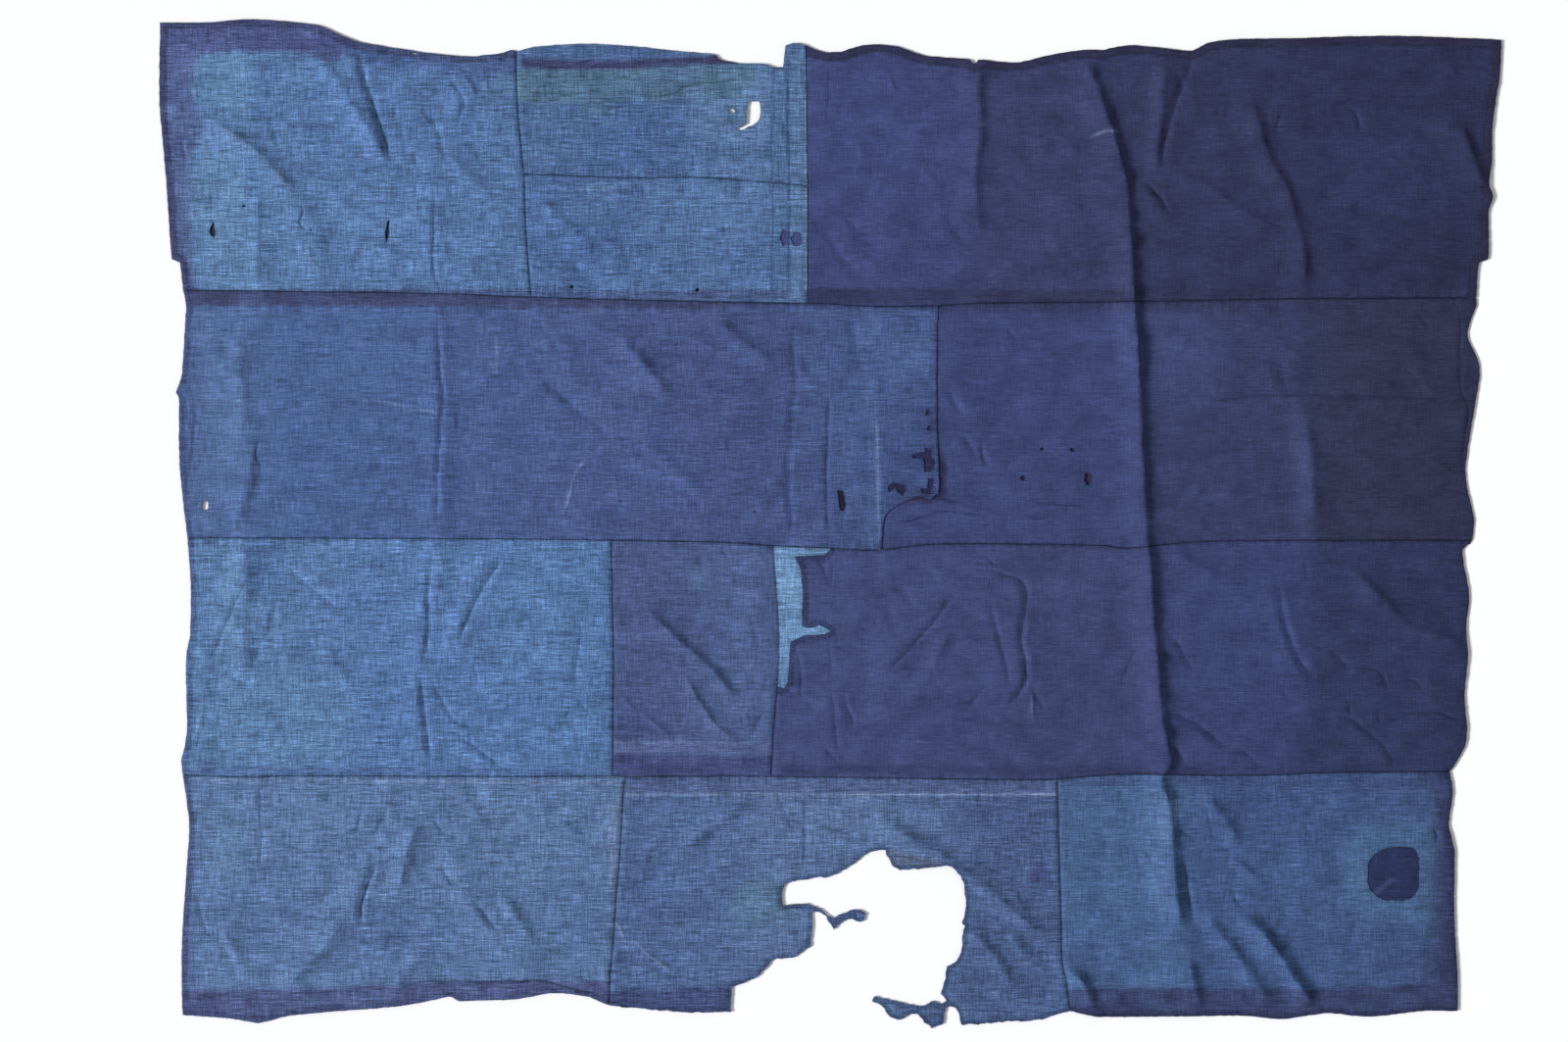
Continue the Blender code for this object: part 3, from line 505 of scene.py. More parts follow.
def fold_field():
    """The height of the solids' folds on a grid over the cloth."""
    columns = int((2 * middle_across + 2 * field_reach) / field_step) + 1
    rows = int((2 * middle_down + 2 * field_reach) / field_step) + 1
    height = np.zeros((rows, columns))
    weight = np.zeros((rows, columns))
    across = -field_reach + field_step * np.arange(columns)
    down = -field_reach + field_step * np.arange(rows)
    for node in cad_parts:
        left, right, top, bottom = extent(node)
        form = solid_form(node)
        tree = BVHTree.FromBMesh(form)
        form.free()
        for i in np.nonzero((across > left) & (across < right))[0]:
            for j in np.nonzero((down > top) & (down < bottom))[0]:
                start = Vector(((across[i] - middle_across) / 1000, (middle_down - down[j]) / 1000, 1))
                hit = tree.ray_cast(start, Vector((0, 0, -1)))[0]
                if hit is not None:
                    place = np.array([across[i]]), np.array([down[j]])
                    level = hit.z * 1000 - solid_thick - solid_lift * lifted(node, *place)[0]
                    height[j, i] += max(level, 0)
                    weight[j, i] += 1
    reach = np.arange(-3, 4)
    kernel = np.exp(-((reach * field_step / 7.0) ** 2) / 2)
    for axis in (0, 1):
        height = np.apply_along_axis(np.convolve, axis, height, kernel, "same")
        weight = np.apply_along_axis(np.convolve, axis, weight, kernel, "same")
    return height / np.maximum(weight, 0.05)


folds = fold_field()


def folded(across, down):
    """The height of the solids' folds at these places."""
    column = np.clip((across + field_reach) / field_step, 0, folds.shape[1] - 1.001)
    row = np.clip((down + field_reach) / field_step, 0, folds.shape[0] - 1.001)
    left, top = column.astype(int), row.astype(int)
    over, under = column - left, row - top
    upper = folds[top, left] * (1 - over) + folds[top, left + 1] * over
    lower = folds[top + 1, left] * (1 - over) + folds[top + 1, left + 1] * over
    return upper * (1 - under) + lower * under


def surface(node, across, down):
    """The upper side's height in millimetres at these places, and how far the creases are worn pale or darkened by dirt
    and painted shade.
    """
    crease, wear_and_painted_shade = creased(across, down)
    height = rest_height + fold_share * folded(across, down) + crease_share * crease
    height += 0.55 * unevenness(across, down, 120, 95, 11)
    rumple = 0.35 + 0.65 * ease(0.5 + unevenness(across, down, 170, 150, 14))
    height += 1.2 * rumple * crumpled(across, down, 46, 12) + 0.5 * rumple * crumpled(across, down, 21, 15)
    height += 0.10 * unevenness(across, down, 9, 11, 13)
    height = lowest_top + np.logaddexp(0, (height - lowest_top) * 3) / 3
    return height + cloth_lift * lifted(node, across, down), wear_and_painted_shade


# One panel or patch: a remnant of narrow hand-loomed cotton dyed in indigo, cut to its outline, with turned
# hems where it has them. Its outline is its solid's, its surface lies in the folds and creases above, and its
# dye is painted point by point from short tables in the section of each panel, then darkened with painted
# shade along seams and hems, with dirt and painted shade along creases, and a little at free edges and hole rims.
cloth_thick = 0.85
grid_step = 3.3
under_step = 9.0
edge_step = 2.6
sharp_corner = math.radians(42)
flat_light = 1.09  # how bright the studio light makes a white sheet that lies flat
pucker_pitch = 12.5


def linear(colour):
    """The dye that looks like this screen colour under the studio light."""
    value = np.array(colour, float) / 255
    return ((value + 0.055) / 1.055) ** 2.4 / flat_light


def outlines(node):
    """The closed outlines of a node's upper side, the outer one first, in millimetres."""
    form = solid_form(node)
    top = {face.index for face in form.faces if face.normal.z > 0.5}
    following = {}
    for face in form.faces:
        if face.index in top:
            for corner in face.loops:
                if sum(other.index in top for other in corner.edge.link_faces) == 1:
                    following[corner.vert.index] = corner.link_loop_next.vert.index
    places = {v.index: (v.co.x * 1000 + middle_across, middle_down - v.co.y * 1000) for v in form.verts}
    form.free()
    loops = []
    while following:
        start, here = following.popitem()
        loop = [places[start]]
        while here != start:
            loop.append(places[here])
            here = following.pop(here)
        loops.append(np.array(loop))
    return sorted(loops, key=lambda loop: -abs(area_of(loop)))


def area_of(loop):
    """The loop's area, positive where it runs clockwise as seen from above."""
    after = np.roll(loop, -1, axis=0)
    return 0.5 * np.sum(loop[:, 0] * after[:, 1] - after[:, 0] * loop[:, 1])


def refined(loop, step=edge_step):
    """The closed outline with a smooth curve's points between its own, but for its sharp corners."""
    back = loop - np.roll(loop, 1, axis=0)
    ahead = np.roll(loop, -1, axis=0) - loop
    cross = back[:, 0] * ahead[:, 1] - back[:, 1] * ahead[:, 0]
    corner = np.abs(np.arctan2(cross, (back * ahead).sum(axis=1))) > sharp_corner
    count = len(loop)
    path = []
    for i in range(count):
        start, end = loop[i], loop[(i + 1) % count]
        before = start if corner[i] else loop[i - 1]
        after = end if corner[(i + 1) % count] else loop[(i + 2) % count]
        parts = max(1, round(np.linalg.norm(end - start) / step))
        for t in np.arange(parts) / parts:
            bend = 2 * before - 5 * start + 4 * end - after + t * (3 * (start - end) + after - before)
            path.append(start + 0.5 * t * (end - before + t * bend))
    return np.array(path)


def inside(across, down, loops):
    """Whether each place is within the first loop and not within the others."""
    within = np.zeros(len(across), bool)
    for loop in loops:
        after = np.roll(loop, -1, axis=0)
        for part in range(0, len(across), 4000):
            x, y = across[part : part + 4000, None], down[part : part + 4000, None]
            crossing = (loop[:, 1] > y) != (after[:, 1] > y)
            with np.errstate(divide="ignore", invalid="ignore"):
                reach = loop[:, 0] + (y - loop[:, 1]) * (after[:, 0] - loop[:, 0]) / (after[:, 1] - loop[:, 1])
            within[part : part + 4000] ^= ((crossing & (x < reach)).sum(axis=1) % 2).astype(bool)
    return within


def tree_of(points):
    """A tree that finds the nearest of these places."""
    tree = KDTree(len(points))
    for number, (across, down) in enumerate(points):
        tree.insert((across, down, 0), number)
    tree.balance()
    return tree


def nearest(tree, across, down):
    """The distance of each place to the tree's nearest point, and that point's number."""
    found = [tree.find((x, y, 0)) for x, y in zip(across, down)]
    return np.array([f[2] for f in found]), np.array([f[1] for f in found], int)


rims = {node: [refined(loop) for loop in outlines(node)] for node in sorted(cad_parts)}
rim_nodes = [node for node, loops in rims.items() for _ in loops[0]]
rim_tree = tree_of(np.concatenate([loops[0] for loops in rims.values()]))


def neighbours(node):
    """For each point of a node's outline, the piece that is sewn on there, or an empty name at a free edge."""
    near = []
    for across, down in rims[node][0]:
        found = rim_tree.find_range((across, down, 0), 1.9)
        near.append(min((rim_nodes[number] for _, number, _ in found if rim_nodes[number] != node), default=""))
    return near


sewn_to = {node: neighbours(node) for node in rims}
crest_rows = []
for path, run, aside, left, right, high, wear_and_shade_line in lines:
    for offset in (-0.7 * left, -0.3 * left, 0.0, 0.3 * right, 0.7 * right):
        if abs(offset) > 1.0 or offset == 0:
            crest_rows.append(path + aside * offset)
crest_rows = np.concatenate(crest_rows)


def triangles(points, rim_counts, loops):
    """The flat net of triangles on these points, inside the first loop and outside the others."""
    edges = []
    first = 0
    for count in rim_counts:
        edges += [(first + i, first + (i + 1) % count) for i in range(count)]
        first += count
    places, _, faces, origins, *_ = delaunay_2d_cdt([Vector(p) for p in points], edges, [], 0, 1e-4)
    places = np.array([tuple(p) for p in places])
    faces = np.array(faces)
    on_rim = np.array([not origin or min(origin) < first for origin in origins])
    doubtful = on_rim[faces].all(axis=1)
    middles = places[faces].mean(axis=1)
    keep = np.ones(len(faces), bool)
    keep[doubtful] = inside(middles[doubtful, 0], middles[doubtful, 1], loops)
    faces = faces[keep]
    used = np.unique(faces)
    renumber = np.zeros(len(places), int)
    renumber[used] = np.arange(len(used))
    return places[used], renumber[faces]


def open_edges(faces):
    """The directed edges that only one face has."""
    edges = np.concatenate([faces[:, (0, 1)], faces[:, (1, 2)], faces[:, (2, 0)]])
    size = faces.max() + 1
    forward = edges[:, 0] * size + edges[:, 1]
    backward = edges[:, 1] * size + edges[:, 0]
    return edges[~np.isin(forward, backward)]


def grid(loops, step):
    """Places inside the outer loop's box, in staggered rows."""
    low, high = loops[0].min(axis=0), loops[0].max(axis=0)
    down = np.arange(low[1], high[1], step * 0.866)
    across = np.arange(low[0], high[0], step)
    columns, rows = np.meshgrid(across, np.arange(len(down)))
    places = np.stack([columns + (rows % 2) * step / 2, down[rows]], axis=2).reshape(-1, 2)
    places[:, 0] += 0.16 * step * unevenness(places[:, 0] * 9, places[:, 1] * 9, 1.7, 1.3, 21)
    places[:, 1] += 0.16 * step * unevenness(places[:, 0] * 9, places[:, 1] * 9, 1.3, 1.9, 22)
    return places[inside(places[:, 0], places[:, 1], loops)]


def rim_rows(loops, depths):
    """Rows of places inside the outline, parallel to it at these depths, so that a seam's groove is sharp."""
    tree = tree_of(np.concatenate(loops))
    kept = []
    for depth in depths:
        for number, loop in enumerate(loops):
            ahead = np.roll(loop, -1, axis=0) - np.roll(loop, 1, axis=0)
            ahead /= np.maximum(np.linalg.norm(ahead, axis=1), 1e-6)[:, None]
            side = 1 if (area_of(loop) > 0) == (number == 0) else -1
            row = loop + side * depth * np.stack([-ahead[:, 1], ahead[:, 0]], axis=1)
            far, _ = nearest(tree, row[:, 0], row[:, 1])
            row = row[far > depth * 0.85]
            kept.append(row[inside(row[:, 0], row[:, 1], loops)])
    return np.concatenate(kept)


def thinned(points, taken, spacing):
    """The points that lie at least this far from those taken."""
    if not len(points):
        return points
    far, _ = nearest(tree_of(taken), points[:, 0], points[:, 1])
    return points[far > spacing]


def well_apart(points, spacing):
    """The points with only one kept in each small square."""
    _, first = np.unique(np.round(points / spacing).astype(int), axis=0, return_index=True)
    return points[np.sort(first)]


def ragged(loop, free, rough, seed):
    """The outline with its free stretches frayed in and out a little."""
    ahead = np.roll(loop, -1, axis=0) - np.roll(loop, 1, axis=0)
    ahead /= np.maximum(np.linalg.norm(ahead, axis=1), 1e-6)[:, None]
    run = np.cumsum(np.linalg.norm(np.diff(loop, axis=0, prepend=loop[-1:]), axis=1))
    shake = unevenness(run, run * 0 + seed, 5.5, 1, 31) + 0.6 * unevenness(run, run * 0 + seed, 2.6, 1, 32)
    free = np.minimum(free, np.minimum(np.roll(free, 1), np.roll(free, -1)))
    return loop + (free * rough * shake)[:, None] * np.stack([ahead[:, 1], -ahead[:, 0]], axis=1)


def worn_hole(row, seed):
    """The uneven round outline of a hole worn through the cloth."""
    across, down, half_across, half_down, tilt = row
    count = max(9, int(2 * (half_across + half_down)))
    turn = 2 * math.pi * np.arange(count) / count
    reach = 1 + 0.28 * unevenness(turn * 3, turn * 0 + seed, 1.2, 1, 71)
    along, over = half_across * reach * np.cos(turn), half_down * reach * np.sin(turn)
    lean = math.radians(tilt)
    return np.column_stack(
        [across + along * math.cos(lean) - over * math.sin(lean), down + along * math.sin(lean) + over * math.cos(lean)]
    )


def dyed(across, down, stops, marks, bands):
    """The dye at these places, from left to right by the stops, then with its stains, fades and bands."""
    tones = np.array([linear(tone) for _, tone in stops])
    warp_across = across + 9 * unevenness(across, down, 60, 45, 41) + 3 * unevenness(across, down, 14, 11, 42)
    warp_down = down + 9 * unevenness(across, down, 55, 50, 43) + 3 * unevenness(across, down, 12, 15, 44)
    dye = np.stack([np.interp(warp_across, [stop for stop, _ in stops], tones[:, i]) for i in range(3)], axis=1)
    for mark_across, mark_down, half_across, half_down, tilt, soft, tone, share in marks:
        turn = math.radians(tilt)
        off_across, off_down = warp_across - mark_across, warp_down - mark_down
        along = (off_across * math.cos(turn) + off_down * math.sin(turn)) / half_across
        over = (off_down * math.cos(turn) - off_across * math.sin(turn)) / half_down
        reach = (np.abs(along) ** 3 + np.abs(over) ** 3) ** (1 / 3)
        mix = (share * (1 - ease((reach - 1 + soft) / (2 * soft))))[:, None]
        dye = dye * (1 - mix) + linear(tone) * mix
    for points, half, soft, tone, share in bands:
        path = curve(points, 8)
        run = np.concatenate([[0], np.cumsum(np.linalg.norm(np.diff(path, axis=0), axis=1))])
        near = np.nonzero(
            (across > path[:, 0].min() - half - soft) & (across < path[:, 0].max() + half + soft)
            & (down > path[:, 1].min() - half - soft) & (down < path[:, 1].max() + half + soft)
        )[0]
        if not len(near):
            continue
        offset, _ = beside(path, run, across[near], down[near])
        uneven = 0.35 * soft * unevenness(across[near], down[near], 9, 9, 45)
        mix = share * (1 - ease((np.abs(offset) - half + uneven) / soft))
        mix = (mix * (1 + 0.3 * unevenness(across[near], down[near], 22, 16, 46)))[:, None]
        dye[near] = dye[near] * (1 - mix) + linear(tone) * mix
    return dye


def woven(name, slub, grain, fleck):
    """Hand-loomed cotton: streaks along its uneven weft, finer ones along its warp, grain and pale flecks."""
    material = bpy.data.materials.new(name)
    material.use_nodes = True
    tree = material.node_tree
    shader = tree.nodes["Principled BSDF"]
    place = tree.nodes.new("ShaderNodeTexCoord")
    # The dye attribute holds the dye with the painted shade of seams, hems and creases multiplied in.
    dye = tree.nodes.new("ShaderNodeAttribute")
    dye.attribute_name = "dye"

    def noise(scale, detail, seed):
        turn = tree.nodes.new("ShaderNodeMapping")
        turn.inputs["Scale"].default_value = scale
        turn.inputs["Location"].default_value = (seed, seed * 0.7, 0)
        texture = tree.nodes.new("ShaderNodeTexNoise")
        texture.noise_dimensions = "2D"
        texture.inputs["Scale"].default_value = 1
        texture.inputs["Detail"].default_value = detail
        tree.links.new(place.outputs["Object"], turn.inputs["Vector"])
        tree.links.new(turn.outputs["Vector"], texture.inputs["Vector"])
        return texture.outputs["Fac"]

    def spread(value, low, high, to_low, to_high):
        node = tree.nodes.new("ShaderNodeMapRange")
        for label, amount in zip(("From Min", "From Max", "To Min", "To Max"), (low, high, to_low, to_high)):
            node.inputs[label].default_value = amount
        tree.links.new(value, node.inputs["Value"])
        return node.outputs["Result"]

    def maths(kind, first, second):
        node = tree.nodes.new("ShaderNodeMath")
        node.operation = kind
        tree.links.new(first, node.inputs[0])
        tree.links.new(second, node.inputs[1])
        return node.outputs["Value"]

    weft = noise((55, 640, 1), 2, 3)
    yarn = noise((13, 470, 1), 1, 4)
    warp = noise((600, 40, 1), 2, 5)
    fine = noise((820, 820, 1), 1, 7)
    cloud = noise((26, 34, 1), 4, 9)
    factor = spread(weft, 0.22, 0.78, 1 - slub, 1 + slub)
    factor = maths("MULTIPLY", factor, spread(yarn, 0.22, 0.78, 1 - 0.6 * slub, 1 + 0.6 * slub))
    factor = maths("MULTIPLY", factor, spread(warp, 0.22, 0.78, 1 - 0.8 * slub, 1 + 0.8 * slub))
    factor = maths("MULTIPLY", factor, spread(fine, 0.2, 0.8, 1 - grain, 1 + grain))
    factor = maths("MULTIPLY", factor, spread(cloud, 0.2, 0.8, 0.8, 1.2))
    factor = maths("MULTIPLY", factor, spread(noise((70, 820, 1), 1, 11), 0.62, 0.80, 1, 1 + fleck))
    scaled = tree.nodes.new("ShaderNodeVectorMath")
    scaled.operation = "SCALE"
    tree.links.new(dye.outputs["Color"], scaled.inputs[0])
    tree.links.new(factor, scaled.inputs["Scale"])
    tree.links.new(scaled.outputs["Vector"], shader.inputs["Base Color"])
    bump = tree.nodes.new("ShaderNodeBump")
    bump.inputs["Strength"].default_value = 0.4
    bump.inputs["Distance"].default_value = 0.0004
    tree.links.new(maths("ADD", maths("ADD", weft, warp), fine), bump.inputs["Height"])
    tree.links.new(bump.outputs["Normal"], shader.inputs["Normal"])
    shader.inputs["Roughness"].default_value = 0.92
    shader.inputs["Specular IOR Level"].default_value = 0.1
    return material


light_weave = (0.46, 0.5, 0.5)
middle_weave = (0.34, 0.36, 0.4)
dark_weave = (0.22, 0.24, 0.25)
panels = []


def lay(node, stops, marks=(), bands=(), holes=(), hem=None, rough=0.35, weave=dark_weave):
    """A panel or patch laid in place: its mesh, its dye and its weave."""
    seed = sorted(rims).index(node)
    seam = np.array([name != "" for name in sewn_to[node]])
    outer = ragged(rims[node][0], 1.0 - seam, rough, seed)
    inner = [ragged(loop, np.ones(len(loop)), 0.7, seed + 50) for loop in rims[node][1:]]
    inner += [worn_hole(row, seed + 7 * number) for number, row in enumerate(holes)]
    loops = [outer, *inner]
    rim = np.concatenate(loops)
    rows = rim_rows(loops, (1.5, 3.8))
    crests = crest_rows[inside(crest_rows[:, 0], crest_rows[:, 1], loops)]
    crests = well_apart(thinned(crests, np.concatenate([rim, rows]), 1.6), 1.5)
    fine = thinned(grid(loops, grid_step), np.concatenate([rim, rows, crests]), 2.0)
    counts = [len(loop) for loop in loops]
    places, faces = triangles(np.concatenate([rim, rows, crests, fine]), counts, loops)
    across, down = places[:, 0], places[:, 1]
    height, wear_and_painted_shade = surface(node, across, down)

    far, which = nearest(tree_of(rim), across, down)
    on_seam = np.concatenate([seam, *(np.zeros(len(hole), bool) for hole in inner)])[which]
    run = np.cumsum(np.linalg.norm(np.diff(rim, axis=0, prepend=rim[:1]), axis=1))[which]
    turns = run / pucker_pitch + 0.4 * unevenness(run, run * 0, 40, 1, 61)
    pucker = np.sin(2 * math.pi * turns) * (0.6 + 0.4 * unevenness(run, run * 0, 23, 1, 62))
    sunk = -1.0 * np.exp(-((far / 1.9) ** 2)) + 0.35 * np.exp(-(((far - 6) / 4) ** 2))
    height += np.where(on_seam, sunk + 0.45 * pucker * np.exp(-far / 8) * ease(far / 2), 0)
    droop = np.where(on_seam, 0, np.exp(-far / 5))
    height = height * (1 - 0.3 * droop) + 0.3 * droop * (lowest_top + cloth_lift * lifted(node, across, down))

    dye = dyed(across, down, stops, marks, bands)
    # Painted shade: a dark line in each seam's groove and dark ticks on its puckers; free edges and hole rims are
    # darkened a little.
    shade = np.where(on_seam, 1 - 0.6 * np.exp(-((far / 1.1) ** 2)) - 0.12 * np.clip(pucker, 0, 1) * np.exp(-far / 6), 1)
    shade = shade * np.where(on_seam, 1, 1 - 0.25 * np.exp(-far / 1.5))
    if hem:
        depth, tone, share = hem
        free_far, _ = nearest(tree_of(outer[~seam]), across, down)
        mix = (share * (1 - ease((free_far - depth + unevenness(across, down, 9, 9, 47)) / 2)))[:, None]
        dye = dye * (1 - mix) + linear(tone) * mix
        height += 0.4 * (1 - ease((free_far - depth + 1) / 2)) - 0.3 * np.exp(-(((free_far - depth) / 1.2) ** 2))
        # Painted shade: a dark line along the fold of the hem.
        shade = shade * (1 - 0.3 * np.exp(-(((free_far - depth) / 1.3) ** 2)))
    # Crease paths: positive values fade the dye pale as worn crests, and negative ones darken it with dirt and painted
    # shade.
    worn = np.clip(wear_and_painted_shade, 0, 1)[:, None]
    dye = dye * shade[:, None] * (1 + np.clip(wear_and_painted_shade, -0.8, 0) * 0.85)[:, None]
    dye = dye * (1 - 0.45 * worn) + linear((150, 170, 205)) * 0.45 * worn

    under = thinned(grid(loops, under_step), rim, 4.0)
    low_places, low_faces = triangles(np.concatenate([rim, under]), counts, loops)
    top_tree = tree_of(places)
    low = []
    for x, y in low_places:
        close = top_tree.find_range((x, y, 0), 7.0)
        spot = min(close, key=lambda found: found[2])
        if spot[2] < 0.01:
            low.append(height[spot[1]] - cloth_thick)
        else:
            low.append(min(height[number] for _, number, _ in close) - 0.7 * cloth_thick)
    low = np.maximum(np.array(low), 0.15)

    count = len(places)
    keys = {(round(x, 3), round(y, 3)): count + i for i, (x, y) in enumerate(low_places)}
    spots = np.concatenate([np.column_stack([places, height]), np.column_stack([low_places, low])])
    verts = np.column_stack(
        [(spots[:, 0] - middle_across) / 1000, (middle_down - spots[:, 1]) / 1000, spots[:, 2] / 1000]
    )
    low_key = [(round(x, 3), round(y, 3)) for x, y in places]
    walls = [(int(a), int(b), keys[low_key[b]], keys[low_key[a]]) for a, b in open_edges(faces)]
    mesh = bpy.data.meshes.new(node + "_cloth")
    mesh.from_pydata(verts.tolist(), [], faces[:, ::-1].tolist() + (low_faces + count).tolist() + walls)
    mesh.update()
    mesh.shade_smooth()
    mesh.set_sharp_from_angle(angle=math.radians(50))
    # The dye attribute holds the dye with the painted shade of seams, hems and creases multiplied in.
    paint = mesh.color_attributes.new("dye", "FLOAT_COLOR", "POINT")
    both = np.concatenate([dye, dyed(low_places[:, 0], low_places[:, 1], stops, marks, bands) * 0.9])
    paint.data.foreach_set("color", np.column_stack([both, np.ones(len(both))]).astype(np.float32).ravel())
    cloth = bpy.data.objects.new(node + "_cloth", mesh)
    bpy.context.scene.collection.objects.link(cloth)
    mesh.materials.append(woven(node + "_cotton", *weave))
    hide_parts(node)
    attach(cloth, "root")
    panels.append(cloth)
    return cloth


# The patch behind the F-shaped tear: the palest cotton, laid under the dark panel of the third row.
lay(
    "pale_patch", [(770, (103, 138, 178)), (870, (101, 134, 172))],
    marks=[(806, 720, 12, 30, 0, 0.6, (110, 146, 184), 0.6), (806, 830, 14, 30, 0, 0.6, (96, 128, 170), 0.6)],
    weave=light_weave,
)

# The rounded patch behind the worn hole at the right: a scrap of the darkest cotton.
lay(
    "round_patch", [(1530, (43, 52, 87)), (1620, (41, 49, 83))],
    bands=[(((1546, 1118), (1560, 1106), (1574, 1096)), 1.5, 3, (66, 80, 120), 0.5)],
    weave=dark_weave,
)

# The first row, sewn from four remnants: a faded one with a darker border, two that are stained green and
# worn at their right ends, and the dark one, which runs on a little under those two.
worn_end = [
    (((812, 50), (812, 200), (813, 350)), 6, 4, (92, 121, 160), 0.55),
    (((803, 54), (802, 120), (804, 200), (803, 345)), 0.8, 1.6, (54, 66, 108), 0.8),
    (((784, 60), (782, 150), (783, 250), (782, 345)), 0.6, 1.4, (56, 68, 112), 0.6),
    (((826, 52), (826, 200), (826, 346)), 0.8, 1.6, (130, 155, 188), 0.5),
]
lay(
    "panel_a4",
    [(780, (63, 72, 117)), (1010, (61, 69, 113)), (1060, (57, 63, 101)), (1200, (54, 60, 96)),
     (1300, (51, 56, 89)), (1500, (46, 51, 83)), (1720, (44, 49, 79))],
    marks=[
        (900, 150, 60, 80, 0, 0.7, (66, 78, 126), 0.5), (1100, 240, 50, 90, 0, 0.7, (60, 66, 106), 0.4),
        (1560, 200, 70, 60, 0, 0.7, (48, 58, 94), 0.5), (1620, 300, 50, 50, 0, 0.6, (43, 44, 72), 0.5),
    ],
    bands=[(((830, 352), (1240, 354), (1700, 354)), 7, 5, (48, 51, 80), 0.7)],
    hem=(10, (44, 44, 68), 0.75), weave=dark_weave,
)
lay(
    "panel_a1",
    [(0, (78, 92, 135)), (40, (80, 95, 139)), (54, (87, 118, 162)), (100, (92, 125, 168)), (200, (86, 117, 162)),
     (330, (85, 115, 162)), (460, (83, 113, 158))],
    marks=[
        (88, 78, 36, 34, 0, 0.5, (96, 132, 172), 0.7), (78, 240, 38, 70, 0, 0.6, (98, 132, 172), 0.7),
        (140, 100, 20, 46, 0, 0.6, (78, 106, 154), 0.6), (120, 220, 12, 60, 0, 0.6, (78, 106, 154), 0.5),
        (345, 100, 60, 44, 20, 0.6, (80, 108, 154), 0.5), (440, 78, 24, 20, 0, 0.6, (80, 108, 142), 0.7),
        (300, 262, 90, 36, 15, 0.6, (92, 125, 172), 0.5), (220, 140, 50, 60, 30, 0.7, (82, 112, 160), 0.5),
    ],
    bands=[
        (((0, 20), (60, 14), (130, 10), (190, 14), (215, 26)), 26, 6, (79, 90, 136), 0.95),
        (((112, 30), (150, 28), (205, 30)), 8, 8, (70, 78, 124), 0.6),
        (((215, 26), (250, 42), (300, 50), (362, 62), (400, 66), (440, 62), (466, 54)), 7, 5, (68, 84, 132), 0.55),
        (((16, 120), (45, 140), (80, 160)), 6, 10, (92, 118, 164), 0.5),
        (((31, 352), (250, 350), (466, 350)), 4, 4, (66, 74, 112), 0.6),
    ],
    holes=[(292, 270, 2.2, 12, 4), (69, 269, 3.6, 8.5, 0), (195, 269, 1.1, 1.2, 0), (292, 42.5, 1.6, 1.1, 10),
           (326, 44, 3.2, 1.5, 12), (367, 48, 1.6, 1, 0), (109, 238, 1.8, 1.4, 0)],
    hem=(8, (62, 66, 102), 0.75), weave=light_weave,
)
lay(
    "panel_a2",
    [(456, (76, 102, 144)), (640, (75, 101, 146)), (720, (84, 112, 154)), (800, (80, 107, 148)), (828, (79, 106, 145))],
    marks=[
        (735, 110, 48, 46, 0, 0.6, (92, 121, 158), 0.6), (557, 105, 24, 22, 0, 0.6, (80, 108, 138), 0.7),
        (620, 160, 60, 26, 0, 0.7, (72, 98, 144), 0.5), (500, 150, 30, 40, 0, 0.7, (82, 110, 152), 0.5),
    ],
    bands=[
        (((474, 84), (560, 82), (640, 80), (740, 74)), 20, 7, (80, 109, 137), 0.9),
        (((468, 55), (520, 58), (600, 57), (700, 52), (735, 52)), 4, 4, (60, 62, 98), 0.85),
        *worn_end,
    ],
    holes=[(731, 130, 1.4, 1.4, 0)], weave=light_weave,
)
lay(
    "panel_a3",
    [(466, (77, 104, 150)), (620, (79, 107, 151)), (780, (82, 110, 153)), (828, (79, 106, 145))],
    marks=[
        (560, 300, 60, 30, 0, 0.7, (72, 98, 146), 0.5), (690, 240, 50, 40, 0, 0.7, (87, 117, 161), 0.5),
        (760, 310, 40, 30, 0, 0.7, (76, 100, 148), 0.5),
    ],
    bands=[
        (((547, 215), (580, 215)), 1.5, 2, (112, 142, 182), 0.5), (((466, 352), (650, 352), (828, 350)), 4, 4, (64, 72, 110), 0.6),
        *worn_end,
    ],
    holes=[(527, 341, 2.2, 2.6, 0), (687, 345, 2.4, 2, 0)], weave=light_weave,
)

# The second row: a long faded remnant at the left, worn through at its right end over a dark one, which
# shows in its holes.
lay(
    "panel_b2",
    [(855, (61, 72, 116)), (1240, (59, 68, 110)), (1270, (56, 63, 100)), (1440, (55, 61, 97)),
     (1480, (49, 54, 83)), (1690, (45, 49, 75))],
    marks=[
        (1297, 425, 48, 55, 0, 0.6, (66, 78, 122), 0.6), (1463, 565, 14, 84, 0, 0.5, (62, 72, 112), 0.6),
        # These four marks darken the panel where it shows through the holes of the panel above.
        (985, 575, 24, 34, 0, 0.2, (42, 43, 78), 1), (940, 600, 17, 12, 0, 0.2, (40, 42, 74), 1),
        (868, 612, 10, 26, 0, 0.2, (34, 34, 56), 1), (984, 512, 8, 18, 0, 0.3, (44, 46, 80), 1),
        (1150, 500, 80, 60, 0, 0.8, (60, 68, 112), 0.4), (1080, 440, 40, 40, 0, 0.7, (56, 64, 106), 0.4),
    ],
    bands=[
        (((998, 366), (1240, 366), (1690, 368)), 5, 5, (50, 52, 82), 0.5),
        (((947, 616), (970, 612), (989, 606)), 1.2, 1.6, (66, 50, 76), 0.7),
    ],
    holes=[(1102, 585, 3.2, 3, 0), (1126, 548, 2, 1.8, 0), (1165, 549, 3.2, 2, 20), (1185, 585, 4.5, 8, 0)],
    weave=dark_weave,
)
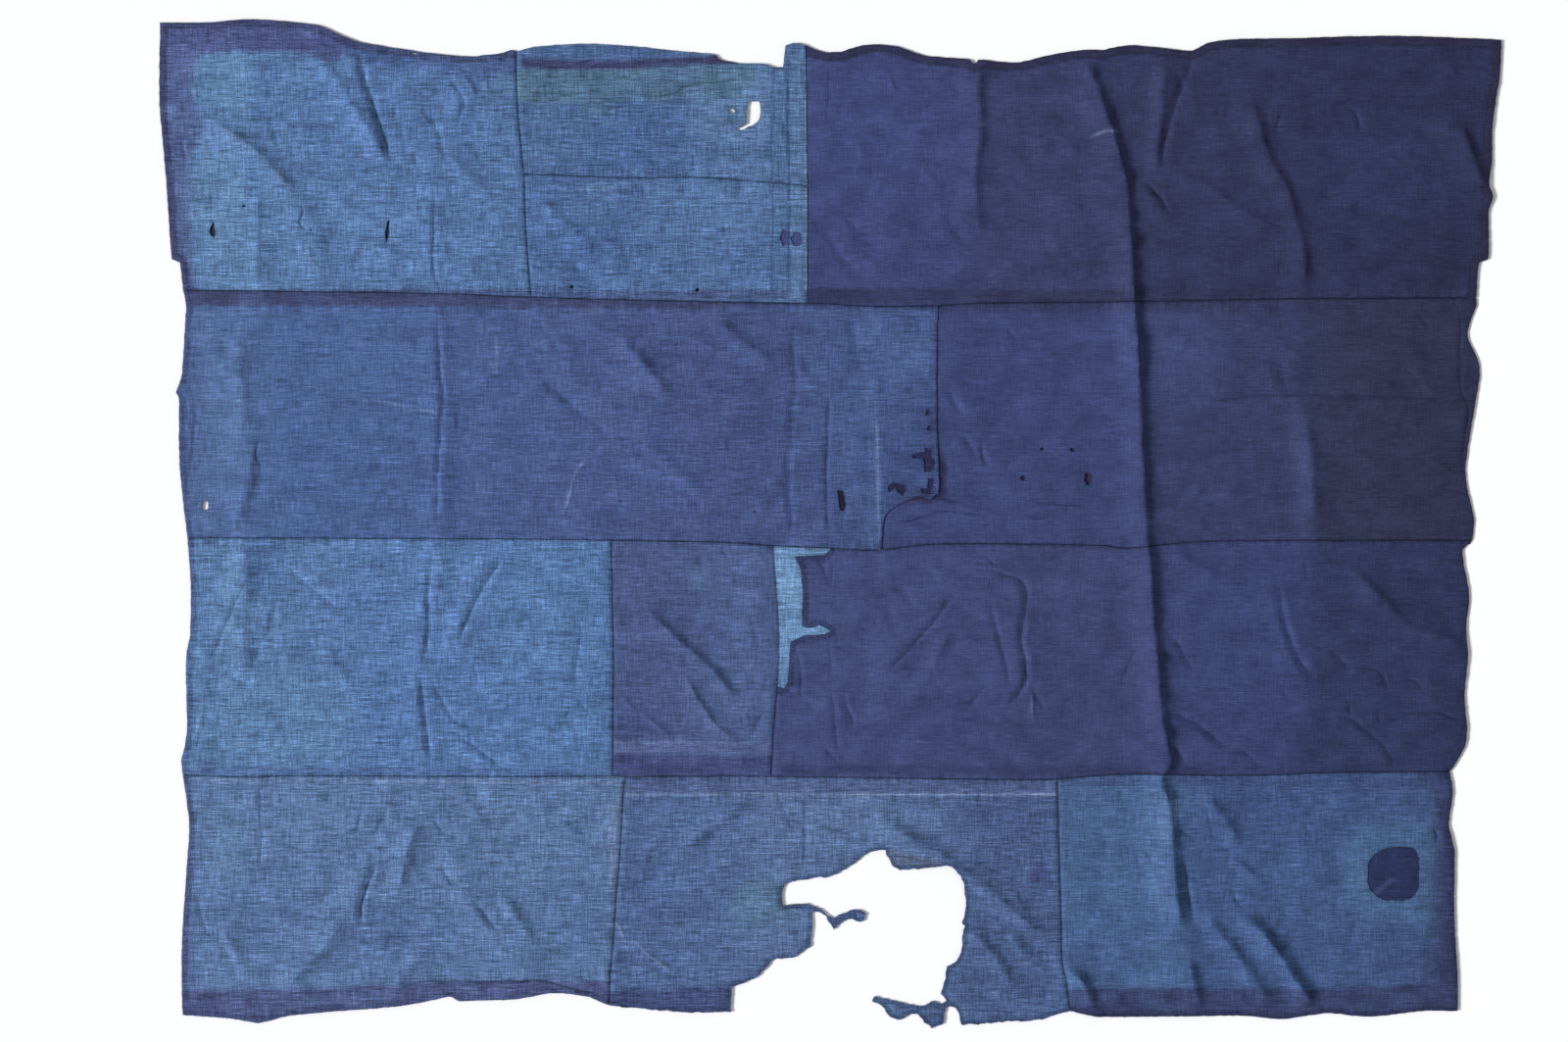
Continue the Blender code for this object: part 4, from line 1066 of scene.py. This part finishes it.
lay(
    "panel_b1",
    [(25, (76, 96, 142)), (60, (82, 106, 152)), (120, (78, 102, 149)), (180, (74, 98, 147)), (350, (73, 95, 143)),
     (560, (71, 88, 135)), (680, (70, 83, 128)), (840, (67, 82, 126)), (900, (66, 84, 128)), (995, (63, 76, 119))],
    marks=[
        (955, 425, 45, 50, 0, 0.7, (74, 97, 144), 0.8), (880, 480, 38, 100, 0, 0.7, (69, 90, 136), 0.6),
        (950, 560, 40, 60, 0, 0.6, (62, 80, 126), 0.6), (640, 560, 60, 50, 20, 0.7, (72, 92, 142), 0.5),
        (480, 520, 70, 60, 0, 0.7, (70, 90, 138), 0.5), (560, 480, 50, 40, 30, 0.7, (74, 92, 138), 0.5),
        (740, 500, 50, 80, 0, 0.7, (66, 78, 122), 0.5), (250, 430, 60, 40, 0, 0.7, (78, 103, 152), 0.5),
        (90, 500, 30, 70, 0, 0.6, (86, 112, 156), 0.6), (545, 366, 18, 12, 0, 0.6, (96, 108, 146), 0.5),
    ],
    bands=[
        (((31, 355), (200, 354), (400, 356), (600, 357), (725, 358)), 9, 5, (64, 70, 106), 0.85),
        (((725, 358), (900, 362), (1000, 364)), 4, 5, (56, 62, 100), 0.5),
        (((261, 484), (310, 492), (354, 502)), 1.2, 1.5, (104, 130, 172), 0.5),
        (((431, 406), (431, 450)), 1, 2, (100, 124, 168), 0.5),
        (((907, 375), (908, 500), (913, 530), (913, 668)), 7, 3, (74, 96, 142), 0.6),
        (((916, 512), (917, 600), (919, 672)), 0.8, 1.4, (112, 136, 176), 0.6),
        (((990, 400), (991, 470), (992, 530)), 0.7, 1.2, (48, 56, 96), 0.7),
        (((1000, 600), (960, 612), (930, 632), (920, 672)), 1, 2, (46, 52, 90), 0.7),
    ],
    holes=[(981, 502, 3.5, 4, 0), (984, 521, 4, 3, 0), (760, 628, 1.2, 1.2, 0)],
    hem=(6, (66, 78, 122), 0.5), weave=middle_weave,
)

# The third row: the lightest cotton, a grey one and a dark one with an F-shaped tear.
lay(
    "panel_c1",
    [(30, (80, 106, 150)), (52, (88, 119, 162)), (160, (88, 119, 163)), (340, (86, 117, 166)), (580, (84, 116, 163))],
    marks=[
        (147, 903, 88, 52, 0, 0.5, (94, 129, 170), 0.6), (92, 745, 16, 90, 0, 0.5, (99, 132, 173), 0.6),
        (138, 694, 20, 32, 0, 0.6, (76, 106, 154), 0.7), (250, 760, 60, 60, 0, 0.7, (84, 115, 164), 0.5),
        (300, 880, 40, 60, 0, 0.7, (80, 110, 160), 0.5), (480, 780, 50, 60, 0, 0.7, (88, 121, 168), 0.5),
        (430, 860, 50, 40, 20, 0.7, (80, 110, 158), 0.5), (380, 700, 40, 30, 0, 0.7, (90, 122, 170), 0.5),
    ],
    bands=[
        (((479, 842), (573, 842)), 7, 4, (78, 106, 152), 0.6), (((52, 958), (300, 958), (577, 960)), 3, 5, (72, 96, 142), 0.5),
        (((570, 680), (571, 820), (572, 960)), 5, 3, (76, 104, 150), 0.5),
    ],
    holes=[(87, 1083, 1, 1, 0)][:0], hem=(6, (70, 90, 136), 0.5), weave=light_weave,
)
lay(
    "panel_c2",
    [(577, (72, 86, 128)), (680, (73, 88, 130)), (740, (75, 93, 136)), (790, (72, 88, 130))],
    marks=[
        (685, 712, 16, 16, 0, 0.6, (84, 112, 150), 0.6), (640, 780, 30, 50, 30, 0.7, (68, 82, 124), 0.5),
        (740, 760, 30, 70, 0, 0.7, (78, 98, 142), 0.5), (610, 890, 30, 30, 0, 0.7, (66, 78, 122), 0.5),
    ],
    bands=[
        (((577, 928), (680, 929), (790, 930)), 5, 4, (86, 100, 142), 0.6),
        (((577, 950), (680, 951), (790, 953)), 11, 4, (64, 72, 116), 0.8),
        (((577, 921), (790, 923)), 0.6, 1.2, (104, 120, 160), 0.5),
    ],
    weave=middle_weave,
)
lay(
    "panel_c3",
    [(780, (65, 75, 118)), (1050, (62, 72, 114)), (1100, (60, 68, 108)), (1265, (59, 67, 107)),
     (1290, (57, 67, 108)), (1455, (55, 65, 106)), (1475, (49, 57, 92)), (1680, (46, 53, 86))],
    marks=[
        (860, 800, 50, 80, 0, 0.7, (68, 80, 124), 0.5), (1000, 900, 60, 40, 0, 0.7, (60, 68, 112), 0.5),
        (1160, 740, 50, 60, 0, 0.7, (64, 72, 114), 0.4), (1380, 780, 60, 80, 0, 0.7, (60, 72, 116), 0.5),
        (1600, 740, 50, 50, 0, 0.7, (44, 50, 80), 0.5), (1540, 900, 60, 40, 0, 0.7, (50, 60, 96), 0.5),
    ],
    bands=[(((800, 956), (1200, 958), (1670, 960)), 4, 5, (50, 56, 92), 0.6)],
    hem=(6, (42, 46, 74), 0.5), weave=dark_weave,
)

# The fourth row: a faded remnant, the one with the big tear and a teal one that darkens at its right end.
# All three have a dark turned hem along the bottom.
lay(
    "panel_d1",
    [(30, (80, 98, 142)), (50, (90, 116, 158)), (330, (88, 114, 156)), (560, (87, 113, 154)), (595, (90, 112, 150))],
    marks=[
        (88, 1053, 24, 50, 0, 0.6, (97, 129, 167), 0.6), (200, 1010, 60, 30, 0, 0.7, (94, 122, 162), 0.5),
        (450, 1040, 60, 50, 0, 0.7, (92, 120, 160), 0.5), (300, 1170, 60, 30, 0, 0.7, (80, 104, 150), 0.5),
        (140, 1150, 40, 40, 0, 0.7, (82, 106, 150), 0.5), (540, 1150, 30, 50, 0, 0.7, (78, 104, 148), 0.5),
    ],
    bands=[
        (((0, 1262), (130, 1262)), 22, 5, (72, 80, 122), 0.9),
        (((130, 1260), (300, 1254), (420, 1248), (600, 1250)), 21, 5, (76, 86, 128), 0.9),
        (((40, 969), (300, 970), (590, 972)), 1, 2, (118, 142, 180), 0.5),
        (((581, 1000), (582, 1100)), 7, 4, (100, 122, 158), 0.6),
    ],
    hem=(6, (66, 76, 118), 0.6), weave=light_weave,
)
lay(
    "panel_d2",
    [(575, (78, 101, 143)), (720, (79, 102, 144)), (780, (86, 109, 149)), (930, (84, 108, 148)),
     (1050, (72, 92, 132)), (1165, (71, 91, 131))],
    marks=[
        (773, 1132, 38, 30, 0, 0.4, (85, 115, 145), 0.8), (1119, 1081, 9, 12, 0, 0.5, (64, 68, 114), 0.7),
        (700, 1060, 40, 40, 30, 0.7, (84, 108, 150), 0.5), (880, 1010, 50, 20, 0, 0.7, (92, 116, 156), 0.5),
        (1090, 1010, 40, 40, 0, 0.7, (68, 86, 128), 0.5), (620, 1120, 26, 60, 0, 0.7, (74, 96, 140), 0.5),
    ],
    bands=[
        # The dark band just under the seam with the third row is painted shadow; a thin pale line runs below it.
        (((597, 976), (850, 976), (1145, 976)), 9, 3, (76, 91, 132), 0.75),
        (((597, 987), (850, 987), (1145, 988)), 0.7, 1.4, (126, 146, 182), 0.6),
        (((575, 1262), (640, 1258), (740, 1255)), 20, 5, (62, 72, 112), 0.85),
        (((935, 1068), (965, 1074), (992, 1080)), 8, 3, (92, 104, 134), 0.7),
    ],
    hem=(3, (58, 72, 114), 0.5), rough=0.9, weave=light_weave,
)
lay(
    "panel_d3",
    [(1146, (72, 97, 138)), (1280, (71, 96, 137)), (1340, (64, 86, 128)), (1500, (63, 85, 126)),
     (1600, (62, 82, 122)), (1622, (58, 70, 106)), (1636, (52, 59, 93)), (1660, (51, 58, 91))],
    marks=[
        (1574, 1090, 54, 66, 0, 0.4, (74, 103, 141), 0.75), (1285, 1012, 13, 40, 0, 0.5, (84, 110, 150), 0.6),
        (1210, 1180, 40, 50, 0, 0.7, (66, 88, 132), 0.5), (1400, 1010, 50, 30, 0, 0.7, (58, 76, 120), 0.5),
        (1430, 1100, 50, 60, 0, 0.7, (66, 90, 132), 0.5),
    ],
    bands=[
        (((1120, 1256), (1300, 1256), (1500, 1256), (1650, 1250)), 19, 5, (55, 63, 99), 0.9),
        (((1150, 972), (1400, 973), (1650, 974)), 3, 4, (56, 68, 108), 0.5),
    ],
    hem=(5, (46, 50, 82), 0.6), weave=middle_weave,
)

# What lies under the cloth: the seams' turned-in allowances, and scraps of dark cotton behind the small holes,
# each tacked to the back. Only their shade shows through.
below_low, below_high = 0.1, 0.5


def slabs(name, pieces, tone):
    """Thin closed pieces with these flat outlines, all on the floor, as one mesh."""
    verts, faces = [], []
    for loop in pieces:
        first, count = len(verts), len(loop)
        for level in (below_high, below_low):
            verts += [((x - middle_across) / 1000, (middle_down - y) / 1000, level / 1000) for x, y in loop]
        faces.append([first + i for i in range(count)][::-1])
        faces.append([first + count + i for i in range(count)])
        faces += [
            (first + i, first + (i + 1) % count, first + count + (i + 1) % count, first + count + i)
            for i in range(count)
        ]
    mesh = bpy.data.meshes.new(name)
    mesh.from_pydata(verts, [], faces)
    mesh.update()
    thing = bpy.data.objects.new(name, mesh)
    bpy.context.scene.collection.objects.link(thing)
    material = bpy.data.materials.new(name)
    material.use_nodes = True
    shader = material.node_tree.nodes["Principled BSDF"]
    shader.inputs["Base Color"].default_value = (*linear(tone), 1)
    shader.inputs["Roughness"].default_value = 0.95
    mesh.materials.append(material)
    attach(thing, "root")
    return thing


def clockwise(loop):
    """The loop turned so that it runs clockwise as seen from above."""
    return loop if area_of(loop) > 0 else loop[::-1]


allowance = 5.0
ribbons, ribbon_area = [], 0.0
for node, names in sewn_to.items():
    loop = rims[node][0]
    count = len(loop)
    for start in range(0, count, 6):
        spots = [i % count for i in range(start, min(start + 7, count + 1))]
        if len(spots) < 3 or not all(names[i] and node < names[i] for i in spots):
            continue
        row = loop[spots]
        ahead = np.gradient(row, axis=0)
        ahead /= np.linalg.norm(ahead, axis=1)[:, None]
        aside = np.stack([ahead[:, 1], -ahead[:, 0]], axis=1) * allowance
        ribbon = clockwise(np.concatenate([row + aside, (row - aside)[::-1]]))
        ribbons.append(ribbon)
        ribbon_area += abs(area_of(ribbon)) / 1e6
slabs(
    "seam_allowances", ribbons, (40, 44, 72),
)
backed = [
    (292, 270, 8, 18), (69, 269, 10, 15), (527, 341, 9, 9), (687, 345, 9, 8), (109, 238, 6, 6),
    (1102, 585, 9, 9), (1126, 548, 7, 7), (1165, 549, 9, 8), (1185, 585, 10, 14), (760, 628, 6, 6),
]
scraps = []
for number, (across, down, half_across, half_down) in enumerate(backed):
    scraps.append(clockwise(worn_hole((across, down, half_across, half_down, 0), 90 + number)))
slabs("backing_scraps", scraps, (36, 38, 62))

# The floor and the light of the studio: a pale floor, white all round, and one soft lamp low at the left.
floor_mesh = bpy.data.meshes.new("floor")
floor_half = 6.0
floor_mesh.from_pydata(
    [(-floor_half, -floor_half, 0), (floor_half, -floor_half, 0), (floor_half, floor_half, 0), (-floor_half, floor_half, 0)],
    [], [(0, 1, 2, 3)],
)
floor = bpy.data.objects.new("floor", floor_mesh)
bpy.context.scene.collection.objects.link(floor)
pale_floor = bpy.data.materials.new("pale_floor")
pale_floor.use_nodes = True
pale_floor.node_tree.nodes["Principled BSDF"].inputs["Base Color"].default_value = (0.92, 0.925, 0.935, 1)
pale_floor.node_tree.nodes["Principled BSDF"].inputs["Roughness"].default_value = 0.95
pale_floor.node_tree.nodes["Principled BSDF"].inputs["Specular IOR Level"].default_value = 0.1
floor_mesh.materials.append(pale_floor)

lamp = bpy.data.objects.new("lamp", bpy.data.lights.new("lamp", "SUN"))
bpy.context.scene.collection.objects.link(lamp)
lamp_height = math.radians(30)
lamp.rotation_euler = (math.radians(8), -(math.pi / 2 - lamp_height), 0)
lamp.data.energy = 4.3
lamp.data.angle = math.radians(14)
world = bpy.data.worlds.new("studio")
world.use_nodes = True
world.node_tree.nodes["Background"].inputs["Color"].default_value = (1, 1, 1, 1)
world.node_tree.nodes["Background"].inputs["Strength"].default_value = 0.40
bpy.context.scene.world = world
bpy.context.scene.view_settings.view_transform = "Standard"
